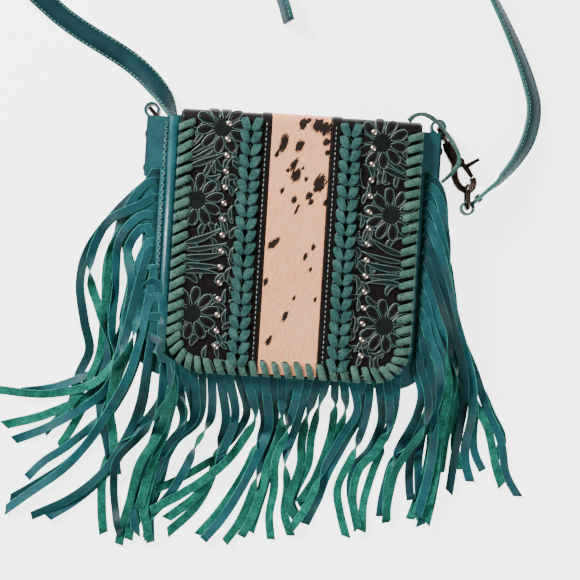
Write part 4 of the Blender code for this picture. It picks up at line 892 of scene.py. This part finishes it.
def carved(side):
    """Heights, rub and painted rim highlight of the tooled leather on one side of the flap."""
    def height_of(x, along):
        chance = np.random.default_rng(40 + side)
        u, v = side * (x - FLAP_SHIFT), along
        grit = chance.random(x.shape)
        height = GROUND + GRIT * (grit - 0.5)
        tone = 0.12 * (grit > 0.86)
        for u0, v0, heading, bend, length, width in scrolls(chance) + list(LEAVES):
            breadth = width * MM * LEAF_BREADTH
            points, widths = curl((u0 * MM, v0 * MM), heading, bend, length * MM, breadth)
            inside = stroke(u, v, points, widths)
            height, tone = press(height, tone, inside, *LEAF_RELIEF)
            vein = crease(inside - breadth * 0.4, 0.00025) * (inside > 0)
            height = height - 0.0002 * vein
        for centre_u, centre_v in FLOWERS[side]:
            cu, cv = centre_u * MM, centre_v * MM
            for turn, length, width in PETALS:
                way = math.cos(math.radians(turn)), math.sin(math.radians(turn))
                foot = (cu + PETAL_FOOT * way[0], cv + PETAL_FOOT * way[1])
                tip = (foot[0] + length * MM * way[0], foot[1] + length * MM * way[1])
                points = [tuple(Vector(foot).lerp(Vector(tip), t / 6)) for t in range(7)]
                inside = stroke(u, v, points, [width * MM / 2 * w for w in PETAL_WIDTHS])
                height, tone = press(height, tone, inside, *PETAL_RELIEF)
                inner = crease(inside - 0.0021, 0.0003) * (inside > 0)
                height = height - 0.0003 * inner
                tone = np.maximum(tone, 0.3 * inner)
            far = np.hypot(u - cu, v - cv)
            disc = far < DISC_R
            bead = np.cos(u * math.tau / BEAD_PITCH) * np.cos(v * math.tau / BEAD_PITCH)
            height = np.where(disc, 0.0003 + 0.0002 * bead, height)
            tone = np.where(disc, 0.10 + 0.32 * (bead > 0.55), tone)
            height = height - 0.0004 * crease(far - DISC_R, 0.0004)
        band = u < BAND_EDGE
        height = np.where(band, 0.00035 - 0.0003 * crease(u - BAND_EDGE, 0.0003), height)
        tone = np.where(band, 0.05, tone)
        return FACE - 0.0002 + height, np.clip(tone, 0.0, 1.0)
    return height_of


def tooled_leather():
    """Black-brown background, teal rubbed into the raised parts, and glossier rims painted pale as
    a highlight.
    """
    material, tree, shader = new_material("tooled_leather", 0.35, {"Specular IOR Level": 0.22})
    tone = attribute(tree, "tone")
    ground = blend(tree, spread(tree, noise(tree, 700.0), 0.4, 0.7), (0.002, 0.0014, 0.0012),
                   (0.01, 0.0065, 0.0055))
    rubbed = blend(tree, spread(tree, noise(tree, 160.0), 0.35, 0.65), (0.006, 0.018, 0.017),
                   (0.006, 0.042, 0.038))
    # Painted highlight: pale grey on the rims, where the raised edges would catch light
    rim = blend(tree, noise(tree, 300.0), (0.15, 0.19, 0.175), (0.36, 0.4, 0.38))
    colour = blend(tree, spread(tree, tone, 0.1, 0.36), ground, rubbed)
    colour = blend(tree, spread(tree, tone, 0.62, 1.0, 0.0, 0.85), colour, rim)
    tree.links.new(colour, shader.inputs["Base Color"])
    tree.links.new(spread(tree, tone, 0.0, 1.0, 0.42, 0.24), shader.inputs["Roughness"])
    bump(tree, shader, [(cells(tree, 1100.0), 0.25, 0.00006)])
    return material


# Spots of the hide as picture x and y, half length, half width and turn in degrees
HIDE_SPOTS = (
    (303, 126, 4, 2.4, 70), (308, 123, 2.6, 1.8, 20), (318, 127, 4.6, 4.2, 60),
    (325, 131, 4.2, 4.6, 80), (326, 144, 2.6, 2.2, 60), (327, 155, 1.8, 1.6, 60),
    (284, 145, 6, 2.6, 75), (277, 156, 2.4, 1.2, 60), (300, 148, 4.2, 2.4, 60),
    (294, 167, 4.8, 2, 62), (296, 177, 4.8, 2.8, 70), (306, 181, 2, 1.2, 60),
    (319, 185, 6.4, 3.4, 60), (282, 192, 2.4, 1.3, 62), (309, 197, 2.8, 1.8, 60),
    (311, 203, 2.2, 1.4, 60), (294, 201, 2.6, 1.6, 60), (297, 210, 3.6, 0.9, 65),
    (325, 204, 2.4, 1.3, 70), (274, 244, 5.2, 2.1, 42), (313, 248, 2.2, 1.2, 70),
    (305, 257, 2.6, 1.3, 65), (310, 270, 2, 0.9, 65), (266, 282, 2.6, 1.4, 70),
    (294, 298, 2, 0.9, 60), (285, 316, 3.8, 1.5, 62), (269, 340, 3.6, 1.4, 62),
    (315, 300, 1.8, 0.9, 65), (288, 172, 1.6, 1, 60), (303, 170, 1.4, 0.9, 60),
)
HAIR_LEAN = math.radians(62.0)
SPOT_GROWTH = 1.45
HAIR_TOP = FLAP_LOW + 0.0044
HAIR_RELIEF = 0.00009
COMB_STEPS = 12


def spotted(x, along):
    """Height and spot darkness of the hair, feathered along its lie."""
    chance = np.random.default_rng(12)
    streak = chance.random((x.shape[0] + 60, x.shape[1] + 60))
    lie = (math.cos(HAIR_LEAN), math.sin(HAIR_LEAN))
    comb = np.zeros(x.shape)
    for step in range(COMB_STEPS):
        i, j = round(step * lie[0]) + 5, round(step * lie[1]) + 5
        comb += streak[i:i + x.shape[0], j:j + x.shape[1]] / COMB_STEPS
    comb = (comb - comb.mean()) / max(comb.std(), 1e-9)
    tone = np.zeros(x.shape)
    for spot_x, spot_y, long, wide, turn in HIDE_SPOTS:
        centre = on_table((spot_x, spot_y))
        angle = math.radians(turn) + BAG_TURN
        du, dv = x - centre.x, along - centre.y
        a = (du * math.cos(angle) + dv * math.sin(angle)) / (long * SPOT_GROWTH * PICTURE_SCALE)
        b = (dv * math.cos(angle) - du * math.sin(angle)) / (wide * SPOT_GROWTH * PICTURE_SCALE)
        ragged = np.hypot(a, b) + 0.2 * comb
        tone = np.maximum(tone, np.clip((1.18 - ragged) / 0.35, 0.0, 1.0))
    return HAIR_TOP + HAIR_RELIEF * comb, tone


def hair_hide():
    """Short cream hair with black-brown spots, pinker where it thins."""
    levels = {"Specular IOR Level": 0.15, "Sheen Weight": 0.05}
    material, tree, shader = new_material("hair_on_hide", 0.7, levels)
    hairs = noise(tree, 330.0, 5.0, (3.2, 0.32, 1.0), HAIR_LEAN - math.pi / 2)
    fine = noise(tree, 900.0, 3.0, (3.0, 0.25, 1.0), HAIR_LEAN - math.pi / 2)
    patch = noise(tree, 22.0, 3.0)
    cream = blend(tree, spread(tree, patch, 0.35, 0.65), (0.9, 0.3, 0.12), (0.95, 0.38, 0.185))
    cream = blend(tree, spread(tree, hairs, 0.3, 0.7), cream, (0.98, 0.5, 0.28))
    brown = blend(tree, fine, (0.004, 0.0025, 0.002), (0.022, 0.012, 0.009))
    tone = spread(tree, sums(tree, attribute(tree, "tone"), sums(tree, fine, 0.35, "MULTIPLY")),
                  0.3, 0.62)
    tree.links.new(blend(tree, tone, cream, brown), shader.inputs["Base Color"])
    bump(tree, shader, [(hairs, 0.35, 0.0003), (fine, 0.4, 0.00015)])
    return material


STUD_OFFSET = 0.061
STUD_R = 0.003
STUD_RISE = 0.0026
STITCH_OFFSET = 0.0292
STITCH_PITCH = 0.00428
STITCH_COUNT = 48
# A stitch by place along it and height, from one end to the other
STITCH = ((0.0012, -0.0003), (0.0008, 0.0001), (0.0, 0.0002), (-0.0008, 0.0001),
          (-0.0012, -0.0003))
STUD_PITCH = 0.0134
STUD_COUNT = 15


def dome(bm, centre, radius, rise, rings=5, steps=16):
    """Closed round head standing on a flat foot."""
    top = bm.verts.new(centre + Vector((0.0, 0.0, rise)))
    levels = []
    for k in range(1, rings + 1):
        turn = math.pi / 2 * k / rings
        ring = [bm.verts.new(centre + Vector((radius * math.sin(turn) * math.cos(a),
                                              radius * math.sin(turn) * math.sin(a),
                                              rise * math.cos(turn))))
                for a in (math.tau * i / steps for i in range(steps))]
        levels.append(ring)
    for i in range(steps):
        j = (i + 1) % steps
        bm.faces.new((top, levels[0][i], levels[0][j])).smooth = True
        for a, b in zip(levels, levels[1:]):
            bm.faces.new((a[i], b[i], b[j], a[j])).smooth = True
    bm.faces.new(levels[-1][::-1])


def make_flap_face():
    tooled = tooled_leather()
    for side, word in ((-1, "left"), (1, "right")):
        near = FLAP_SHIFT + side * (STRIP_HALF_W + CLEARANCE)
        far = FLAP_SHIFT + side * (FLAP_HALF_W - EDGE_INSET)
        face_sheet("carved_panel_" + word, min(near, far), max(near, far), carved(side), tooled,
                   ["tooled_panel_" + word])
        studs = bmesh.new()
        top = FACE_END_Y + 0.0005 - STUD_R
        for i in range(STUD_COUNT):
            spot = Vector((FLAP_SHIFT + side * STUD_OFFSET, top - i * STUD_PITCH, FACE - 0.0004))
            dome(studs, spot, STUD_R, STUD_RISE)
        add_piece("studs_" + word, studs, [ROSE_SILVER], "flap")
        stitches = bmesh.new()
        x = FLAP_SHIFT + side * STITCH_OFFSET
        for i in range(STITCH_COUNT):
            y = FACE_END_Y - 0.001 - i * STITCH_PITCH
            sweep(stitches, [(Vector((x, y + d, FACE + 0.00025 + h)), Vector((0.00036, 0, 0)),
                              upward(0.0003)) for d, h in STITCH], PILLOW)
        add_piece("band_stitches_" + word, stitches, [PALE_THREAD], "flap")
    face_sheet("hair_face", FLAP_SHIFT - STRIP_HALF_W, FLAP_SHIFT + STRIP_HALF_W, spotted,
               hair_hide(), ["hair_strip"])


# Strap: stops as picture x and y, roll in degrees and lift in millimetres

STRAP_W = 0.018
STRAP_T = 0.0032
STRAP_LOOP_R = 0.0024
RIGHT_LOOP_R = 0.004
BUCKLE_HALF = (0.013, 0.0109)
WIRE_R = 0.0013
SNAP_BAR = (0.1229, 0.1148)
SNAP_TURN = {-1: -47.0, 1: -61.0}
RING_PLACE = 0.0558
RING_TURN = {-1: 41.0, 1: -87.0}
RING_REACH = 0.019
END_RUN = 0.0312
STRAP_SECTION = ((-1.0, -0.45), (-0.95, -0.92), (0.0, -1.0), (0.95, -0.92), (1.0, -0.45),
                 (1.0, 0.45), (0.95, 0.92), (0.0, 1.0), (-0.95, 0.92), (-1.0, 0.45))
STRAP_LOOKS = (1, 0, 0, 1, 1, 1, 0, 0, 1, 1)
RIGHT_STRAP = (
    (500, 180, 76, 3), (516, 162, 62, 1), (530, 138, 48, 0), (536, 110, 46, 0), (532, 85, 48, 0),
    (519, 48, 55, 0), (497, 0, 66, 0), (470, -50, 80, 0), (428, -92, 88, 0), (380, -113, 90, 0),
)
BUCKLE_PASS = ((45.0, -5.0), (22.0, -4.9), (12.5, -4.5), (-9.0, 6.4), (-17.0, 7.6), (-26.0, 9.0))
TAIL = (
    (236, -92, 88, 0), (246, -64, 80, 0), (266, -34, 72, 0), (281, -6, 66, 0), (289, 20, 64, 0),
)
LEFT_STRAP = (
    (173, 117, 78, 5), (160, 91, 28, 2), (130, 60, 4, 0), (76, 25, 0, 0), (47, 2, 4, 0),
    (10, -36, 25, 0), (-4, -76, 55, 0), (12, -120, 78, 0), (60, -148, 90, 0), (120, -150, 90, 0),
    (180, -136, 90, 2),
)
BUCKLE_SPOT = (271.0, -118.0)


def strap_station(x, y, roll, lift):
    """Strap station at a picture point, its lower edge just above the table."""
    turn = math.radians(roll)
    rise = STRAP_W / 2 * abs(math.sin(turn)) + STRAP_T / 2 * abs(math.cos(turn)) + CLEARANCE
    place = on_table((x, y))
    return (place.x, place.y, rise + lift * MM, roll)


def snap_frame(side):
    """Snap's own frame: X along it from the eye's bar, Y to the gate's side, Z up."""
    bar = Vector((side * SNAP_BAR[0], SNAP_BAR[1], HARDWARE_Z))
    place = Matrix.Translation(bar) @ Matrix.Rotation(math.radians(SNAP_TURN[side]), 4, "Z")
    return place @ Matrix.Rotation(math.pi, 4, "X") if side < 0 else place


def strap_end(side):
    """Where the strap's end loops round the ring's far bar."""
    near = snap_frame(side) @ Vector((RING_PLACE, 0.0, 0.0))
    ring = Matrix.Translation(near) @ Matrix.Rotation(math.radians(RING_TURN[side]), 4, "Z")
    return ring @ Vector((RING_REACH, 0.0, 0.0))


def buckle_frame():
    """Buckle's own frame: X along the strap to its right piece, Y up, Z towards the bag."""
    spot = on_table(BUCKLE_SPOT)
    along = (on_table((BUCKLE_SPOT[0] + 40.0, BUCKLE_SPOT[1] + 2.0)) - spot).normalized()
    up = upward(1.0)
    turn = Matrix((along, up, along.cross(up))).transposed().to_4x4()
    return Matrix.Translation(spot + up * (BUCKLE_HALF[1] + WIRE_R + CLEARANCE)) @ turn


def buckle_station(x, out):
    place = buckle_frame() @ Vector((x, 0.0, out))
    return (*place, 90.0)


def strap_rings(stations, step):
    """Centre, half width vector and half thickness vector at each station of a strap."""
    fine = smooth_route(stations, step)
    centres = [station.to_3d() for station in fine]
    rings = []
    for i, centre in enumerate(centres):
        ahead = ahead_at(centres, i)
        across = Matrix.Rotation(math.radians(fine[i][3]), 3, ahead) @ level_to(ahead)
        rings.append((centre, across * STRAP_W / 2, ahead.cross(across) * STRAP_T / 2))
    return rings


def loop_round(bm, bar, radius, middle):
    """Fold of a strap about an upright bar."""
    rings = []
    for x, y in arc(bar, radius + STRAP_T * 0.36, 0.0, 352.0, 26):
        centre = Vector((x, y, middle))
        out = (centre - Vector((bar.x, bar.y, middle))).normalized()
        rings.append((centre, upward(STRAP_W / 2 - CLEARANCE), out * STRAP_T * 0.3))
    sweep(bm, rings, STRAP_SECTION, STRAP_LOOKS)


def make_straps():
    for side, word in ((-1, "left"), (1, "right")):
        table = LEFT_STRAP if side < 0 else RIGHT_STRAP
        route = [strap_station(*stop) for stop in table]
        bar = strap_end(side)
        away = (Vector(route[0]).to_2d() - bar.to_2d()).normalized()
        loop_r = STRAP_LOOP_R if side < 0 else RIGHT_LOOP_R
        start = bar.to_2d() + away * (loop_r + STRAP_T / 4)
        middle = bar.to_2d() + away * END_RUN
        stations = [(*start, HARDWARE_Z, 90.0), (*middle, HARDWARE_Z, 88.0)] + route
        edge = -BUCKLE_HALF[0]
        if side < 0:
            last = edge - STRAP_LOOP_R - STRAP_T / 4
            stations += [buckle_station(x, 0.0) for x in (edge - 0.040, edge - 0.022, last)]
        else:
            stations += [buckle_station(x * MM, out * MM) for x, out in BUCKLE_PASS]
            stations += [strap_station(*stop) for stop in TAIL]
        bm = bmesh.new()
        sweep(bm, strap_rings(stations, 0.004), STRAP_SECTION, STRAP_LOOKS)
        loop_round(bm, bar, loop_r, HARDWARE_Z)
        if side < 0:
            buckle_bar = buckle_frame() @ Vector((edge, 0.0, 0.0))
            loop_round(bm, buckle_bar, STRAP_LOOP_R, buckle_bar.z)
        add_piece("strap_leather_" + word, bm, [STRAP_GRAIN, STRAP_EDGE], "bag",
                  ["strap_" + word])
        threads = bmesh.new()
        rings = strap_rings(stations, 0.00125)
        for i in range(14, len(rings) - 4, 3):
            for edge_side in (-1, 1):
                for face in (-1, 1):
                    dash = [(c + a * (0.82 * edge_side) + u * (face * height), a * 0.035, u * 0.13)
                            for (c, a, u), height in zip(rings[i:i + 3], (1.0, 1.09, 1.0))]
                    sweep(threads, dash, FLAT)
        add_piece("strap_thread_" + word, threads, [THREAD], "bag")


# Turned edge of the front panel, and the zigzag seam of the gusset beside it

EDGE_IN = 0.004
EDGE_CORNER = 0.011
EDGE_HALF_W = 0.0043
EDGE_HALF_T = 0.0023
SEAM_X = 0.1079
SEAM_TOP = 0.104
SEAM_END = -0.080
ZIG_HALF_W = 0.0011
ZIG_RUN = 0.0024
ZIG_PITCH = 0.0026


def make_edges():
    bm = bmesh.new()
    path = cup_path(0.0, FRONT_HALF_W - EDGE_IN, FRONT_END_Y + EDGE_IN, BODY_HALF_H - 0.001,
                    EDGE_CORNER, 8)
    path = [Vector((x, y, FRONT_TOP - 0.0006)) for x, y in path]
    sweep(bm, [(centre, level_to(ahead_at(path, i)) * EDGE_HALF_W, upward(EDGE_HALF_T))
               for i, centre in enumerate(path)], PILLOW)
    # The turned edge is painted a little lighter than the panel, as a highlight
    add_piece("front_turned_edge", bm, [TEAL_GLOSSY_HIGHLIT], "bag")
    seam = bmesh.new()
    for side, header_top in ((-1, LEFT_ROOTS[0]), (1, RIGHT_ROOTS[0])):
        y = SEAM_TOP
        way = ZIG_HALF_W
        while y > SEAM_END:
            z = GUSSET_TOP + (0.0022 if y < header_top - 0.001 else CLEARANCE)
            a = Vector((side * (SEAM_X + way), y, z))
            b = Vector((side * (SEAM_X - way), y - ZIG_RUN, z))
            across = level_to((b - a).normalized()) * 0.0004
            sweep(seam, [(centre, across, upward(0.0003))
                         for centre in (a, (a + b) / 2 + upward(0.0002), b)], FLAT)
            y -= ZIG_PITCH
            way = -way
    add_piece("seam_zigzag", seam, [THREAD], "bag")


# Loose end of the whipstitch lace, as picture x and y and height in millimetres
LACE_TAIL = (
    (407, 124, 43.6), (412, 119, 44.6), (421, 117, 43.4), (432, 121, 37), (443, 131, 31),
    (452, 144, 28.6), (458, 156, 27.4), (457, 166, 26.8), (450, 175, 26.4), (441, 183, 26),
)
TAIL_HALF_W = 0.0021


def make_lace_tail():
    stops = [(*on_table((x, y)).to_2d(), z * MM, 0.0) for x, y, z in LACE_TAIL]
    path = [p.to_3d() for p in smooth_route(stops, 0.003)]
    rings = []
    for i, centre in enumerate(path):
        ahead = ahead_at(path, i)
        roll = math.radians(50.0 * math.sin(i * 0.35))
        across = Matrix.Rotation(roll, 3, ahead) @ level_to(ahead)
        rings.append((centre, across * TAIL_HALF_W, ahead.cross(across) * LACE_T / 2))
    bm = bmesh.new()
    sweep(bm, rings, PILLOW)
    tail = add_piece("lace_tail", bm, [LACE], "bag")


# Camera, light and floor

def make_camera():
    data = bpy.data.cameras.new("camera")
    camera = new_object("camera", data)
    data.sensor_width = SENSOR
    data.lens = SENSOR * CAMERA_HEIGHT / (PICTURE_WIDTH * PICTURE_SCALE)
    spot = on_table(PICTURE_MIDDLE)
    camera.location = (spot.x, spot.y, CAMERA_HEIGHT + FACE_HEIGHT)
    camera.rotation_euler = (0.0, 0.0, BAG_TURN)
    bpy.context.scene.camera = camera


def make_light(name, place, size, power):
    data = bpy.data.lights.new(name, "AREA")
    data.size = size
    data.energy = power
    lamp = new_object(name, data)
    lamp.location = place
    lamp.rotation_euler = (-Vector(place)).to_track_quat("-Z", "Y").to_euler()


def make_studio():
    world = bpy.data.worlds.new("studio")
    bpy.context.scene.world = world
    world.use_nodes = True
    sky = world.node_tree.nodes["Background"].inputs
    sky["Color"].default_value = (1.0, 1.0, 1.0, 1.0)
    sky["Strength"].default_value = WORLD_STRENGTH
    make_light("key", *KEY_LIGHT, KEY_POWER)
    make_light("fill", *FILL_LIGHT, FILL_POWER)
    levels = {"Emission Color": (1.0, 1.0, 1.0, 1.0), "Emission Strength": FLOOR_GLOW}
    material, tree, shader = new_material("pale_floor", 0.9, levels)
    tone = spread(tree, noise(tree, 6.0), 0.3, 0.7)
    tree.links.new(blend(tree, tone, (0.9, 0.9, 0.9), (0.93, 0.93, 0.93)),
                   shader.inputs["Base Color"])
    bm = bmesh.new()
    bmesh.ops.create_grid(bm, x_segments=2, y_segments=2, size=FLOOR_HALF)
    mesh = bpy.data.meshes.new("floor")
    bm.to_mesh(mesh)
    bm.free()
    floor = new_object("floor", mesh)
    mesh.materials.append(material)
    floor.location = (0.0, 0.0, FLOOR_Z)


# Looks of the nodes that are shown as they are, and how much fuller the cast metal is made

TEAL_NODES = ("back_panel", "gusset", "front_panel", "tab_left", "tab_right", "keeper")
METAL_WORDS = ("buckle_", "oval_ring_", "snap_", "strap_rivet_", "tab_rivet_", "magnet_")
SWOLLEN = {"snap_eye": 0.0005, "snap_body": 0.0008, "snap_gate": 0.0005, "oval_ring": 0.0005}


def dress(names, material):
    for name in names:
        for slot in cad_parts[name].material_slots:
            slot.material = material


make_camera()
make_studio()
make_fringes()
make_whipstitch()
make_braids()
make_flap_face()
make_straps()
make_edges()
make_lace_tail()
dress(TEAL_NODES, TEAL_GRAIN)
dress(["flap"], DARK_GRAIN)
dress([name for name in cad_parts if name.startswith(METAL_WORDS)], BRONZE)
for stem, swell in SWOLLEN.items():
    for word in ("_left", "_right"):
        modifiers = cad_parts[stem + word].modifiers
        modifiers.new("welded", "WELD").merge_threshold = 0.00001
        thicker = modifiers.new("thicker", "DISPLACE")
        thicker.mid_level = 0.0
        thicker.strength = swell
